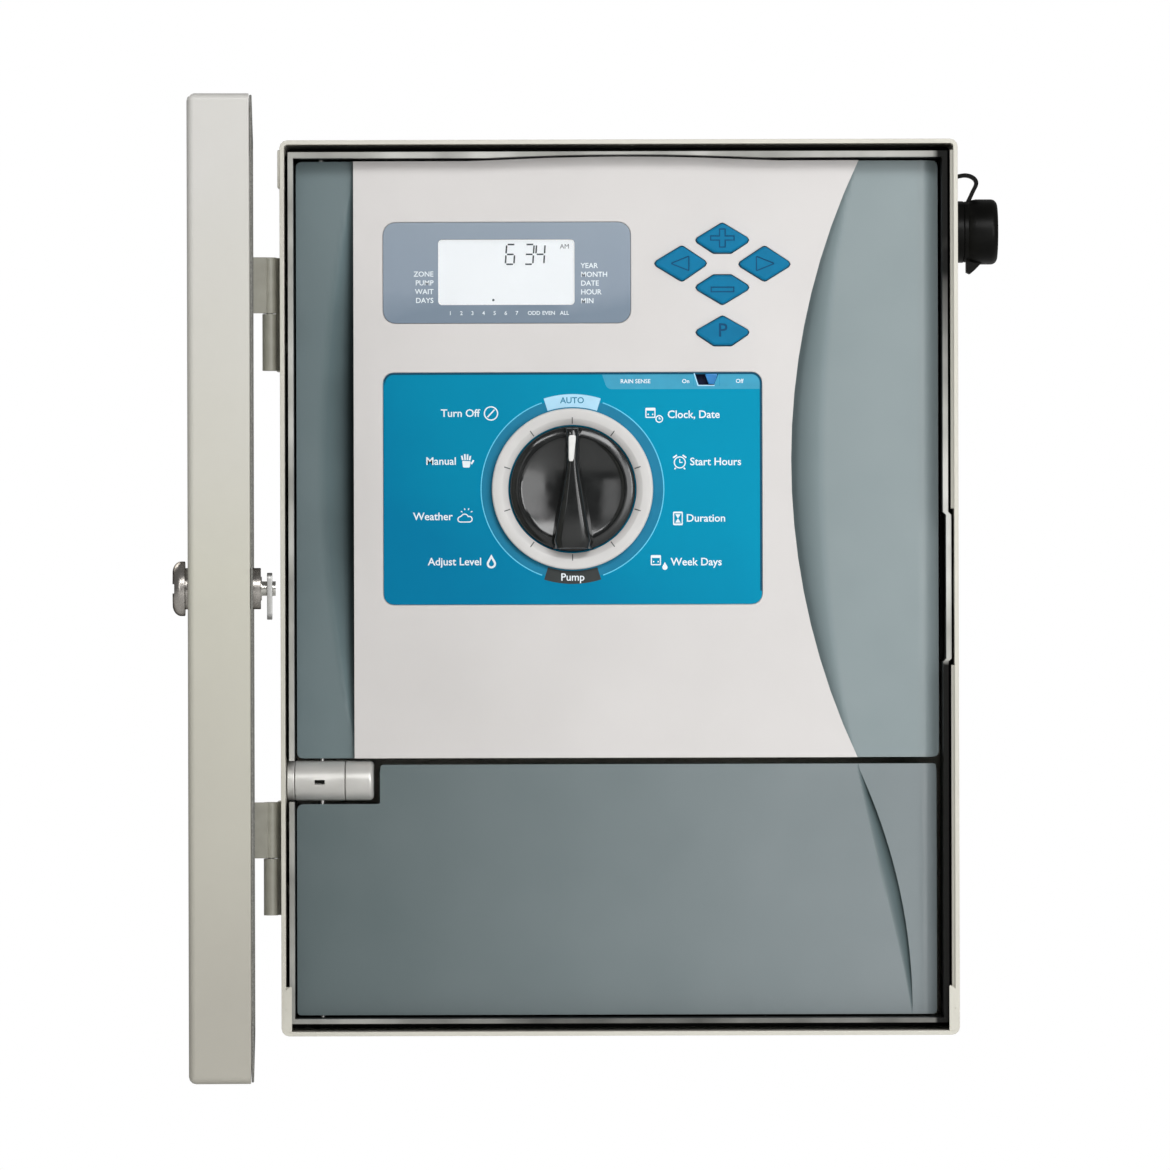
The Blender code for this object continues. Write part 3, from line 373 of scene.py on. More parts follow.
def make_materials():
    height_shaded_materials()
    tree, shader = moulded("cabinet_paint", (0.60, 0.583, 0.515), 0.42, 0.9, 0.02, 0.03, 90.0)
    bump(tree, shader, noise_of(tree, 0.28, 2.0), 0.35, 0.012)
    moulded("hinge_paint", (0.27, 0.263, 0.22), 0.45, 0.6, 0.02, 0.08, 6.0)
    foam_material()
    polished_metal("chrome", (0.45, 0.425, 0.395), 0.27, scratch=0.0005, edge=0.02)
    polished_metal("zinc_steel", (0.40, 0.40, 0.39), 0.45, (1, 1, 0.1), scratch=0.002, edge=0.3)
    polished_metal("nickel", (0.62, 0.61, 0.57), 0.24)
    polished_metal("brass", (0.62, 0.44, 0.17), 0.28)
    moulded("block_silver", (0.62, 0.61, 0.585), 0.36, 0.3, 0.008, 0.04, 12.0, Metallic=0.35)
    lip_material()
    # Each part's colours at its left, middle and right: the lighter right is a painted sheen
    frame_shades = ((0.125, 0.172, 0.182), (0.165, 0.212, 0.222), (0.252, 0.305, 0.315))
    panel_material("panel_plastic", "panel_frame", *frame_shades)
    cover_shades = ((0.10, 0.135, 0.14), (0.148, 0.184, 0.192), (0.21, 0.245, 0.256))
    panel_material("cover_plastic", "wiring_cover", *cover_shades)
    moulded("bezel_plastic", (0.63, 0.61, 0.60), 0.42, 0.4, 0.018, 0.018, 50.0)
    moulded("black_plastic", (0.022, 0.022, 0.023), 0.45, 0.5, 0.03, 0.15, 10.0)
    glass_material()
    lcd_material()
    moulded("key_rubber", (0.002, 0.165, 0.325), 0.5, 0.3, 0.015, 0.06, 8.0, Specular_IOR_Level=0.12)
    # Painted shade for the floors of the keys' pressed-in marks
    moulded("key_mark", (0.004, 0.07, 0.17), 0.6, 0.3, 0.01, 0.05, 5.0, Specular_IOR_Level=0.15)
    label_material()
    moulded("ring_plastic", (0.61, 0.60, 0.59), 0.38, 0.35, 0.012, 0.03, 15.0)
    moulded("knob_black", (0.010, 0.011, 0.011), 0.13, 6.0, 0.0, 0.2, 8.0)
    moulded("pointer_white", (0.72, 0.72, 0.70), 0.4, 0.3, 0.005, 0.04, 3.0)
    moulded("slider_plastic", (0.01, 0.20, 0.52), 0.42, 0.3, 0.01, 0.08, 4.0)
    moulded("slot_navy", (0.008, 0.012, 0.05), 0.5, 0.4, 0.02, 0.15, 6.0, Specular_IOR_Level=0.2)
    board_material()
    moulded("module_plastic", (0.055, 0.058, 0.062), 0.5, 0.5, 0.03, 0.08, 15.0)
    moulded("terminal_green", (0.03, 0.22, 0.12), 0.45, 0.4, 0.02, 0.08, 6.0)
    transformer_materials()
    for name, (colour, roughness, change, patch, gloss) in INKS.items():
        moulded(name, colour, roughness, 0.2, 0.004, change, patch, Specular_IOR_Level=gloss)
    moulded("rubber", (0.003, 0.003, 0.0026), 0.34, 0.4, 0.03, 0.2, 12.0, Specular_IOR_Level=0.1)


# ---------------------------------------------------------------- meshes


def mesh_of(bm):
    mesh = bpy.data.meshes.new("mesh")
    bm.to_mesh(mesh)
    bm.free()
    return mesh


def box(x, y, z):
    bm = bmesh.new()
    bmesh.ops.create_cube(bm, size=1)
    pairs = [sorted(pair) for pair in (x, y, z)]
    bmesh.ops.scale(bm, vec=[high - low for low, high in pairs], verts=bm.verts)
    bmesh.ops.translate(bm, vec=[(high + low) / 2 for low, high in pairs], verts=bm.verts)
    return mesh_of(bm)


def rod(radius, start, end, sides=32):
    start, end = Vector(start), Vector(end)
    bm = bmesh.new()
    length = (end - start).length
    bmesh.ops.create_cone(bm, cap_ends=True, segments=sides, radius1=radius, radius2=radius, depth=length)
    turn = (end - start).to_track_quat("Z", "Y").to_matrix().to_4x4()
    bm.transform(Matrix.Translation((start + end) / 2) @ turn)
    return mesh_of(bm)


def lofted(sections, across=False):
    """A skin through sections of equally many points. A curved last end is closed by strips across."""
    bm = bmesh.new()
    rows = [[bm.verts.new(point) for point in section] for section in sections]
    for lower, upper in zip(rows, rows[1:]):
        for n in range(len(lower)):
            m = (n + 1) % len(lower)
            bm.faces.new((lower[n], lower[m], upper[m], upper[n]))
    bm.faces.new(rows[0])
    last = rows[-1]
    if across:
        for n in range(len(last) // 2 - 1):
            bm.faces.new((last[n], last[n + 1], last[-2 - n], last[-1 - n]))
    else:
        bm.faces.new(last)
    bmesh.ops.recalc_face_normals(bm, faces=bm.faces)
    return mesh_of(bm)


def bend(centre, size, start, end, steps):
    """Points of a profile round a bend of this size along each axis. Angles are in radians."""
    angles = steps_between(start, end, steps)
    return [(centre[0] + size[0] * math.cos(a), centre[1] + size[1] * math.sin(a)) for a in angles]


def turned(profile, axis, at, sides=96):
    """A profile of (radius, distance along axis) turned about an axis through a point."""
    bm = bmesh.new()
    verts = [bm.verts.new((radius, 0, far)) for radius, far in profile]
    edges = [bm.edges.new(pair) for pair in zip(verts, verts[1:] + verts[:1])]
    bmesh.ops.spin(
        bm, geom=verts + edges, axis=(0, 0, 1), cent=(0, 0, 0), angle=math.tau, steps=sides, use_merge=True
    )
    bmesh.ops.remove_doubles(bm, verts=bm.verts, dist=1e-4)
    bmesh.ops.delete(bm, geom=[f for f in bm.faces if f.calc_area() < 1e-8], context="FACES_ONLY")
    bmesh.ops.delete(bm, geom=[e for e in bm.edges if not e.link_faces], context="EDGES")
    bmesh.ops.recalc_face_normals(bm, faces=bm.faces)
    turn = Vector(axis).to_track_quat("Z", "Y").to_matrix().to_4x4()
    bm.transform(Matrix.Translation(at) @ turn)
    return mesh_of(bm)


def mesh_from_curve(curve):
    """A curve's or text's mesh with its caps welded on. The curve is used up."""
    guide = bpy.data.objects.new("guide", curve)
    bpy.context.scene.collection.objects.link(guide)
    mesh = bpy.data.meshes.new_from_object(guide.evaluated_get(bpy.context.evaluated_depsgraph_get()))
    bpy.data.objects.remove(guide, do_unlink=True)
    bpy.data.curves.remove(curve)
    bm = bmesh.new()
    bm.from_mesh(mesh)
    bmesh.ops.remove_doubles(bm, verts=bm.verts, dist=1e-4)
    bmesh.ops.recalc_face_normals(bm, faces=bm.faces)
    bm.to_mesh(mesh)
    bm.free()
    return mesh


def upright(mesh, y):
    """Turn a mesh drawn in the XY plane to face -Y, with its middle at this Y."""
    mesh.transform(Matrix.Translation((0, y, 0)) @ Matrix.Rotation(math.pi / 2, 4, "X"))
    return mesh


def plate(outlines, y):
    """Outlines of (X, Z) points, holes included, as a plate between two Y values."""
    curve = bpy.data.curves.new("outline", "CURVE")
    curve.dimensions = "2D"
    curve.fill_mode = "BOTH"
    curve.extrude = abs(y[1] - y[0]) / 2
    for outline in outlines:
        spline = curve.splines.new("POLY")
        spline.points.add(len(outline) - 1)
        for point, (px, pz) in zip(spline.points, outline):
            point.co = (px, pz, 0, 1)
        spline.use_cyclic_u = True
    return upright(mesh_from_curve(curve), (y[0] + y[1]) / 2)


def lettering(words, size, at, y, align="CENTER", weight=0.012):
    """Plain letters as thin plates on the face at this Y. A weight above 0 makes them bolder."""
    curve = bpy.data.curves.new("letters", "FONT")
    curve.body = words
    curve.size = size
    curve.align_x = align
    curve.align_y = "CENTER"
    curve.offset = size * weight
    curve.extrude = PRINT / 2
    curve.resolution_u = 3
    mesh = mesh_from_curve(curve)
    mesh.transform(Matrix.Translation((at[0], at[1], 0)))
    return upright(mesh, y - PRINT / 2)


def joined(meshes):
    """Several meshes as one. They are used up."""
    bm = bmesh.new()
    for mesh in meshes:
        bm.from_mesh(mesh)
        bpy.data.meshes.remove(mesh)
    return mesh_of(bm)


def rounded(corners, radius, steps=6):
    """A closed outline with each corner rounded. A corner may give its own radius third."""
    outline = []
    for n, corner in enumerate(corners):
        here = Vector(corner[:2])
        curve = corner[2] if len(corner) > 2 else radius
        if not curve:
            outline.append(tuple(here))
            continue
        back = (Vector(corners[n - 1][:2]) - here).normalized()
        ahead = (Vector(corners[(n + 1) % len(corners)][:2]) - here).normalized()
        half = back.angle(ahead) / 2
        centre = here + (back + ahead).normalized() * curve / math.sin(half)
        start = here + back * curve / math.tan(half) - centre
        turn = start.angle_signed(here + ahead * curve / math.tan(half) - centre)
        for step in range(steps + 1):
            spoke = start.copy()
            spoke.rotate(Matrix.Rotation(-turn * step / steps, 2))
            outline.append(tuple(centre + spoke))
    return outline


def rectangle(left, right, bottom, top, radius=0.0, steps=6):
    return rounded([(left, bottom), (right, bottom), (right, top), (left, top)], radius, steps)


def arc(centre, radius, start, end, steps):
    """Points along an arc. Angles are in degrees, clockwise from straight up."""
    angles = [math.radians(start + (end - start) * n / steps) for n in range(steps + 1)]
    return [(centre[0] + radius * math.sin(a), centre[1] + radius * math.cos(a)) for a in angles]


def circle(centre, radius, steps):
    return arc(centre, radius, 0, 360, steps)[:-1]


def ribbon(points, width, cyclic=False):
    """The outlines of a line of this width through points: one loop, or two for a closed line."""
    sides = ([], [])
    count = len(points)
    for n, point in enumerate(points):
        here = Vector(point)
        before = Vector(points[n - 1]) if n or cyclic else here
        after = Vector(points[(n + 1) % count]) if n < count - 1 or cyclic else here
        into = (here - before).normalized()
        out = (after - here).normalized()
        direction = (into + out).normalized()
        normal = Vector((-direction.y, direction.x))
        reach = width / 2 / max(0.4, normal.dot(Vector((-out.y, out.x)) if out.length else normal))
        for side, sign in zip(sides, (1, -1)):
            side.append(tuple(here + normal * reach * sign))
    if cyclic:
        return list(sides)
    return [sides[0] + sides[1][::-1]]


# ---------------------------------------------------------------- pieces


def finish_mesh(name, mesh, material):
    """An object from a mesh in metres, smooth but for its edges."""
    mesh.name = name
    mesh.materials.clear()
    mesh.materials.append(MATERIALS[material])
    mesh.shade_smooth()
    mesh.set_sharp_from_angle(angle=SHARP)
    made = bpy.data.objects.new(name, mesh)
    bpy.context.scene.collection.objects.link(made)
    return made


def piece(name, mesh, material, body, replaces=(), turn=None):
    """A mesh drawn in millimetres as a piece that rides on a body."""
    mesh.transform((turn or Matrix()) @ Matrix.Scale(MM, 4))
    made = finish_mesh(name, mesh, material)
    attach(made, body)
    if replaces:
        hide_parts(*replaces)
    return made


def even_shading(made):
    """Shade each vertex after the largest flat stretch it touches, so that flats look flat."""
    mesh = made.data
    bm = bmesh.new()
    bm.from_mesh(mesh)
    bm.transform(Matrix.Scale(1 / MM, 4))
    bm.normal_update()
    bm.faces.ensure_lookup_table()
    stretch = {}
    for first in bm.faces:
        if first in stretch:
            continue
        members, queue = {first}, [first]
        while queue:
            for edge in queue.pop().edges:
                for other in edge.link_faces:
                    if other not in members and other.normal.dot(first.normal) > FLAT:
                        members.add(other)
                        queue.append(other)
        area = sum(face.calc_area() for face in members)
        for face in members:
            stretch[face] = area
    normals = []
    for polygon in mesh.polygons:
        own = bm.faces[polygon.index]
        for loop in own.loops:
            total = Vector()
            main = own if own.calc_area() > SLIVER else max(loop.vert.link_faces, key=stretch.get)
            for face in loop.vert.link_faces:
                if face.normal.dot(main.normal) > SOFT:
                    total += face.normal * stretch[face]
            normals.append(total.normalized())
    bm.free()
    mesh.normals_split_custom_set(normals)
    return made


def cad_mesh(node):
    """A CAD node's mesh in millimetres, welded, with its flat faces whole."""
    bm = bmesh.new()
    bm.from_mesh(frame["nodes"][node].data)
    bmesh.ops.remove_doubles(bm, verts=bm.verts, dist=2e-6)
    bm.transform(Matrix.Scale(1 / MM, 4))
    bmesh.ops.dissolve_limit(bm, angle_limit=0.008, verts=bm.verts, edges=bm.edges)
    return mesh_of(bm)


def round_edges(mesh, width, steps, angle=32, chosen=lambda edge: True):
    """Round every edge bent by more than an angle."""
    bm = bmesh.new()
    bm.from_mesh(mesh)
    edges = [
        e
        for e in bm.edges
        if len(e.link_faces) == 2 and e.calc_face_angle() > math.radians(angle) and chosen(e)
    ]
    bmesh.ops.bevel(
        bm, geom=edges, offset=width, segments=steps, profile=0.5, affect="EDGES", clamp_overlap=True
    )
    bmesh.ops.remove_doubles(bm, verts=bm.verts, dist=WELD)
    bmesh.ops.dissolve_degenerate(bm, dist=WELD, edges=bm.edges)
    bm.to_mesh(mesh)
    bm.free()
    return mesh


def body_of(node):
    return frame["nodes"][node]["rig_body"]


def refined(node, material, width, steps, name=None):
    """A copy of a CAD node with its edges rounded, which stands in for it."""
    mesh = round_edges(cad_mesh(node), width, steps)
    return even_shading(piece(name or f"{node}_finished", mesh, material, body_of(node), (node,)))


def boolean(mesh, other, operation="DIFFERENCE"):
    """One mesh cut from another or joined to it."""
    first = bpy.data.objects.new("first", mesh)
    second = bpy.data.objects.new("second", other)
    for obj in (first, second):
        bpy.context.scene.collection.objects.link(obj)
    modifier = first.modifiers.new("Boolean", "BOOLEAN")
    modifier.operation = operation
    modifier.object = second
    made = bpy.data.meshes.new_from_object(first.evaluated_get(bpy.context.evaluated_depsgraph_get()))
    for obj in (first, second):
        data = obj.data
        bpy.data.objects.remove(obj, do_unlink=True)
        bpy.data.meshes.remove(data)
    return made


def gridded(mesh, columns, rows):
    """Cut a mesh's faces along upright planes at each X and level planes at each Z."""
    bm = bmesh.new()
    bm.from_mesh(mesh)
    for axis, places in ((0, columns), (2, rows)):
        normal = [0, 0, 0]
        normal[axis] = 1
        for place in places:
            point = [0, 0, 0]
            point[axis] = place
            geom = bm.verts[:] + bm.edges[:] + bm.faces[:]
            bmesh.ops.bisect_plane(bm, geom=geom, dist=1e-4, plane_co=point, plane_no=normal)
    bm.to_mesh(mesh)
    bm.free()
    return mesh


def steps_between(start, end, count):
    return [start + (end - start) * n / count for n in range(count + 1)]


def ease(share):
    """0 to 1 with a soft start and end."""
    share = min(1.0, max(0.0, share))
    return share * share * (3 - 2 * share)


# ---------------------------------------------------------------- camera, light and floor


def look_at(obj, target):
    obj.rotation_euler = (Vector(target) - obj.location).to_track_quat("-Z", "Y").to_euler()


def camera():
    """A long lens a little over three metres away, level with the cabinet's middle."""
    optics = bpy.data.cameras.new("camera")
    optics.sensor_width = 36.0
    optics.lens = 215.38462
    optics.shift_y = 0.0009
    made = bpy.data.objects.new("camera", optics)
    bpy.context.scene.collection.objects.link(made)
    made.location = (-0.0157, -3.274, 0.0007)
    made.rotation_euler = (math.pi / 2, math.radians(0.15), 0)
    bpy.context.scene.camera = made


def softbox(name, place, target, size, power):
    light = bpy.data.lights.new(name, "AREA")
    light.shape = "RECTANGLE"
    light.size, light.size_y = size
    light.energy = power
    made = bpy.data.objects.new(name, light)
    bpy.context.scene.collection.objects.link(made)
    made.location = place
    look_at(made, target)


def studio():
    scene = bpy.context.scene
    scene.view_settings.view_transform = "Standard"
    scene.view_settings.look = "None"
    world = bpy.data.worlds.new("studio")
    scene.world = world
    world.use_nodes = True
    nodes, links = world.node_tree.nodes, world.node_tree.links
    background = nodes["Background"]
    background.inputs["Color"].default_value = (1, 1, 1, 1)
    seen = nodes.new("ShaderNodeLightPath")
    level = nodes.new("ShaderNodeMapRange")
    level.inputs["To Min"].default_value = 0.2  # what lights the object
    level.inputs["To Max"].default_value = 1.0  # what the camera sees behind it
    links.new(seen.outputs["Is Camera Ray"], level.inputs["Value"])
    links.new(level.outputs["Result"], background.inputs["Strength"])
    target = (0, -0.1, 0)
    softbox("key_light", (0.75, -3.0, 1.55), target, (1.5, 1.0), 47)
    softbox("top_strip", (-0.85, -2.95, 1.5), target, (0.8, 0.3), 9)
    softbox("right_card", (1.35, -3.0, 0.15), target, (1.2, 1.5), 24)
    softbox("right_strip", (2.0, -2.5, 0.35), target, (0.25, 1.2), 13)
    softbox("left_fill", (-1.35, -3.0, 0.4), target, (0.9, 1.2), 7)
    softbox("back_fill", (-1.6, 2.6, 1.8), target, (1.8, 1.8), 70)


def floor():
    """A plain pale floor, below a controller that hangs at a low working height."""
    made = bpy.data.objects.new("floor", box((-4500, 4500), (-5500, 1900), (-460, -450)))
    made.data.transform(Matrix.Scale(MM, 4))
    bpy.context.scene.collection.objects.link(made)
    tree, shader = new_material("floor", (0.80, 0.80, 0.79), 0.6)
    tint(tree, shader, noise_of(tree, 400.0, 2.0), [(0.3, (0.79, 0.79, 0.78)), (0.7, (0.82, 0.82, 0.81))])
    made.data.materials.append(MATERIALS["floor"])


# ---------------------------------------------------------------- cabinet


def lip_frame():
    """The gutter and the lip. Over the facepack the top lip follows the low crown."""
    front = limits("rim_channel")[1][0]
    crown, _, crown_z = limits("facepack_bezel")
    crown_left, crown_right = middle(crown) - 62.5, middle(crown) + 78.7
    lip_low, lip_high, lip_back = 195.15, 197.95, -78.0
    rise, clearance = 1.9, 0.5
    mesh = round_edges(cad_mesh("rim_channel"), 0.35, 3)
    bottom = []
    for share in steps_between(-0.06, 1.06, 40):
        height = crown_z[1] - rise + rise * math.sin(math.pi * min(1.0, max(0.0, share))) + clearance
        bottom.append((crown_left + (crown_right - crown_left) * share, max(lip_low, height)))
    infill = plate([bottom + [(bottom[-1][0], lip_high), (bottom[0][0], lip_high)]], (front, lip_back))
    mesh = boolean(mesh, round_edges(infill, 0.3, 2, 50), "UNION")
    even_shading(piece("lip_frame", mesh, "lip_paint_shaded", "cabinet", ("rim_channel",)))


def cabinet_piece(name, mesh, replaces=()):
    return piece(name, mesh, "cabinet_paint", "cabinet", replaces)


def cabinet():
    """The shell with its rim, and the gutter and lip inside it."""
    x, y, z = limits("cabinet_body")
    wall, sliver = 2.0, 0.05
    mesh = round_edges(cad_mesh("cabinet_body"), 0.7, 4)
    for side in (-1, 1):
        across = (side * (x[1] - wall - 1.6), side * (x[1] - wall - sliver))
        mesh = boolean(mesh, box(across, (y[0] + 2.3, y[0] + 4.8), (z[1] - 22.4, z[1] - wall - sliver)))
    even_shading(cabinet_piece("cabinet_shell", mesh, ("cabinet_body",)))
    lip_frame()
    weld = box((x[0] - 1.0, x[0] + 0.3), (y[0] + 0.8, y[0] + 12), (z[1] - 21.6, z[1] - 4.4))
    cabinet_piece("upper_left_weld", round_edges(weld, 0.45, 3))
    rim_folds(x[1] - wall, y[0], z)
    for side, name in ((-1, "left"), (1, "right")):
        gusset(f"lower_{name}_gusset", side, x[1], y[0], z[0])


def rim_folds(wall, front, z):
    """The right-hand rim's edge is folded in, but for a stretch beside the lock."""
    fold, depth, lock_half, hem, overlap = 1.4, 1.6, 35.5, 0.5, 0.3
    outer, start = wall + overlap, front + 0.7
    section = [(wall - fold, start + depth), (outer, start), (outer, start + depth + hem)]
    for name, low, high in (("upper", lock_half, z[1] - 5.0), ("lower", z[0] + 21.0, -lock_half)):
        strip = lofted([[(px, py, height) for px, py in section] for height in (low, high)])
        cabinet_piece(f"{name}_rim_fold", strip)


def gusset(name, side, half_width, front, floor_z):
    """A plate across a lower corner of the rim, with a dimple."""
    outer, inner, low, high = half_width - 1.0, half_width - 4.7, floor_z + 2.0, floor_z + 22.6
    corners = [
        (side * inner, low),
        (side * outer, low),
        (side * outer, high - 2.4),
        (side * (inner + 0.5), high),
        (side * inner, high - 0.6),
    ]
    shape = plate([rounded(corners, 0.25, 3)], (front - 0.15, front + 2.0))
    dimple_x, dimple_z = side * (outer - 1.3), floor_z + 12
    dimple = rod(0.45, (dimple_x, front - 1, dimple_z), (dimple_x, front + 0.2, dimple_z))
    shape = round_edges(boolean(shape, dimple), 0.25, 2)
    cabinet_piece(name, shape)


def door_turn():
    """From the shut door's place to where it stands at rest."""
    joint = next(j for j in frame["joints"] if j["name"] == "door_hinge")
    pivot = Matrix.Translation(joint["pos_m"])
    swing = Matrix.Rotation(math.radians(-joint["range_deg"][0]), 4, Vector(joint["axis"]))
    return pivot @ swing @ pivot.inverted()


def door():
    refined("door_pan", "door_paint_shaded", 0.45, 3, "door_shell")
    refined("door_gasket", "gasket_foam", 1.1, 4)
    for side in ("upper", "lower"):
        for leaf in ("door_leaf", "body_leaf"):
            refined(f"{side}_hinge_{leaf}", "hinge_paint", 0.35, 3)
        refined(f"{side}_hinge_pin", "zinc_steel", 0.3, 3)
        for number in (1, 2):
            refined(f"{side}_hinge_rivet_{number}", "hinge_paint", 0.4, 3)


def lock():
    """A domed chrome lock with a keyed plug; a groove crosses its face."""
    turn = door_turn()
    shut = turn.inverted()
    low, high = (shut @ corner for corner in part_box("lock_housing"))
    x = (low.x + high.x) / 2 / MM
    tip = -max(abs(low.y), abs(high.y)) / MM
    refined("lock_nut", "zinc_steel", 0.8, 3)
    refined("lock_cam", "zinc_steel", 0.3, 2)
    refined("lock_plug", "nickel", 0.25, 3)
    bore, neck, back, dome, groove_half = 5.2, 8.5, -97.0, 11.25, 1.9
    profile = [(bore, back), (neck - 0.2, back), (neck, back - 0.2), (neck, tip + 5.25)]
    profile += [(dome - 0.3, tip + 5.25), (dome, tip + 5.0), (dome, tip + 3.6)]
    profile += bend((dome - 4.6, tip + 3.6), (4.6, -3.6), 0.12, 1.4, 9)
    profile += [(bore + 1.2, tip + 0.15), (bore + 0.7, tip + 0.8), (bore, tip + 1.6)]
    outline = [(radius, -far) for radius, far in profile]
    shape = turned(outline, (0, -1, 0), (x, 0, 0))
    groove = box((x - 14, x + 14), (tip - 1, tip + 0.75), (-groove_half, groove_half))
    piece("lock_dome", boolean(shape, groove), "chrome", "door", ("lock_housing",), turn)


def inner_hinge():
    for node in ("hinge_block_base", "hinge_block", "hinge_block_cap"):
        refined(node, "block_silver", 0.45, 3)
    y, z = limits("hinge_block")[1:]
    left, right, half = -138.8, -134.4, 0.95
    insert = box((left, right), (y[0] + 1.2, y[0] + 3.9), (middle(z) - half, middle(z) + half))
    piece("hinge_block_window", round_edges(insert, 0.15, 2), "rubber", "cabinet")
    for node in ("frame_pivot_pin", "centre_pivot_pin", "cover_pivot_pin"):
        refined(node, "zinc_steel", 0.3, 3)


# ---------------------------------------------------------------- swing-out panel


def lens(z, peak, half):
    """A share that is 1 at the peak's height and falls to 0 this far above and below it."""
    return max(0.0, 1 - ((z - peak) / half) ** 2)


def soft_start(share):
    """0 to 1, growing ever more steeply."""
    share = min(1.0, max(0.0, share))
    return share**1.8


def store_painted_shade(mesh, share):
    """Record at each point how much painted shade its scoop gets. The plastic's material reads it."""
    layer = mesh.attributes.new("scoop", "FLOAT", "POINT")
    for vert, item in zip(mesh.vertices, layer.data):
        item.value = share(vert.co.x, vert.co.z)


def arc_x(z):
    """The facepack's hollow side at this height."""
    return ARC_CENTRE[0] - math.sqrt(ARC_RADIUS**2 - (z - ARC_CENTRE[1]) ** 2)


def panel_frame():
    """The grey-green frame. It is scooped out beside the facepack, most at mid height, and painted shade
    darkens the scoops.
    """
    x, y, z = limits("panel_frame")
    bezel = limits("facepack_bezel")[0]
    peak, half = middle(z), (z[1] - z[0]) / 2 - 2
    left_reach, right_reach, left_depth, right_depth, edge_drop = 13.5, 13.0, 8.5, 6.5, 2.2
    strip = steps_between(x[0] + 3, bezel[0] + 4, 18)
    wing = steps_between(arc_x(ARC_CENTRE[1]) - 3, x[1] - 0.8, 60)
    rows = steps_between(z[0] + 1.5, z[1] - 1.5, 48)
    mesh = gridded(cad_mesh("panel_frame"), strip + wing, rows)

    # Painted shade in the scoops: how dark at most, how much further than the scoop it reaches, how it
    # spreads up and down
    darkest, shade_reach, shade_spread = 0.3, 1.25, 0.6

    def nearness(px, pz, wider=1.0):
        """How near the facepack this is: 1 at its side, 0 where the scoop starts."""
        swell = lens(pz, peak, half)
        if px < 0:
            return 1 - (bezel[0] - px) / max(0.1, left_reach * wider * swell)
        return 1 - (px - arc_x(min(max(pz, z[0]), z[1]))) / max(0.1, right_reach * wider * swell)

    def scoop(px, pz):
        """How deep the scoop is here, as a share of its greatest depth."""
        return lens(pz, peak, half) * soft_start(nearness(px, pz))

    def shade(px, pz):
        """How much painted shade the scoop gets here. The painted shade starts a little before the scoop
        does.
        """
        near = min(1.0, max(0.0, nearness(px, pz, shade_reach)))
        return darkest * lens(pz, peak, half) ** shade_spread * near

    for vert in mesh.vertices:
        px, py, pz = vert.co
        if py > y[0] + 3:
            continue
        vert.co.y += (left_depth if px < 0 else right_depth) * scoop(px, pz)
        vert.co.y += edge_drop * ease((px - (x[1] - 11)) / 11) ** 2
    round_edges(mesh, 1.0, 4, 50)
    store_painted_shade(mesh, shade)
    even_shading(piece("swing_frame", mesh, "panel_plastic", "panel", ("panel_frame",)))


def facepack():
    refined("facepack_bezel", "bezel_plastic", 0.45, 4, "facepack_front")
    refined("facepack_case", "black_plastic", 0.8, 3)
    refined("display_panel", "display_film", 0.2, 2)
    refined("display_window", "clear_window", 0.3, 3)
    # The display's glow is painted light, in place of the light that falls on it through the window
    refined("lcd_module", "lcd_painted_glow", 0.4, 2)
    refined("dial_label", "label_blue", 0.15, 2)
    refined("keypad_membrane", "key_rubber", 0.3, 2)


# Seven-segment digits: which bars are lit, from the top clockwise, then the middle
SEGMENTS = {"6": "1011111", "3": "1111001", "4": "0110011"}


def digit(figure, left, bottom, width, height, lean):
    """One seven-segment figure, as outlines of its lit bars."""
    gap, bar = 0.45, 0.7
    top, half = bottom + height, bottom + height / 2
    ends = {
        "top": ((left, top), (left + width, top)),
        "upper_right": ((left + width, top), (left + width, half)),
        "lower_right": ((left + width, half), (left + width, bottom)),
        "bottom": ((left + width, bottom), (left, bottom)),
        "lower_left": ((left, bottom), (left, half)),
        "upper_left": ((left, half), (left, top)),
        "middle": ((left, half), (left + width, half)),
    }
    outlines = []
    for lit, (start, end) in zip(SEGMENTS[figure], ends.values()):
        if lit == "0":
            continue
        a, b = Vector(start), Vector(end)
        inset = (b - a).normalized() * gap
        run = [a + inset, b - inset]
        run = [(p.x + (p.y - bottom) * lean, p.y) for p in run]
        outlines += ribbon(run, bar)
    return outlines


def display_figures():
    """What the display shows: a time, its half of the day, and a mark under one weekday."""
    front = limits("lcd_module")[1][0]
    window = limits("display_window")
    face = (front - PRINT, front - 0.01)
    right, top = window[0][1], window[2][1]
    width, height, lean = 3.9, 9.0, 0.07
    bottom = top - 1.9 - height
    outlines = []
    for figure, left in zip("634", (right - 31.2, right - 22.6, right - 17.6)):
        outlines += digit(figure, left, bottom, width, height, lean)
    outlines.append(circle((right - 36.7, window[2][0] + 2.0), 0.55, 12))
    figures = plate(outlines, face)
    letters = lettering("AM", 3.0, (right - 4.2, top - 2.9), front, weight=0)
    piece("display_figures", joined([figures, letters]), "lcd_ink", "panel")


def display_legend():
    """Short generic words round the display, in white ink."""
    _, (face, _), (bottom, _) = limits("display_panel")
    left, right = limits("display_window")[0]
    size, small, pitch = 3.3, 2.5, 4.0
    rows = []
    for n, words in enumerate(("ZONE", "PUMP", "WAIT", "DAYS")):
        rows.append(lettering(words, size, (left - 2.4, bottom + 22.3 - pitch * n), face, "RIGHT"))
    for n, words in enumerate(("YEAR", "MONTH", "DATE", "HOUR", "MIN")):
        rows.append(lettering(words, size, (right + 3.1, bottom + 26.0 - pitch * n), face, "LEFT"))
    below = [(str(n + 1), 5.2 + 5.05 * n) for n in range(7)]
    for words, place in below + [("ODD", 43.3), ("EVEN", 50.0), ("ALL", 57.2)]:
        rows.append(lettering(words, small, (left + place, bottom + 4.5), face))
    piece("display_legend", joined(rows), "ink_white", "panel")


# ---------------------------------------------------------------- keys


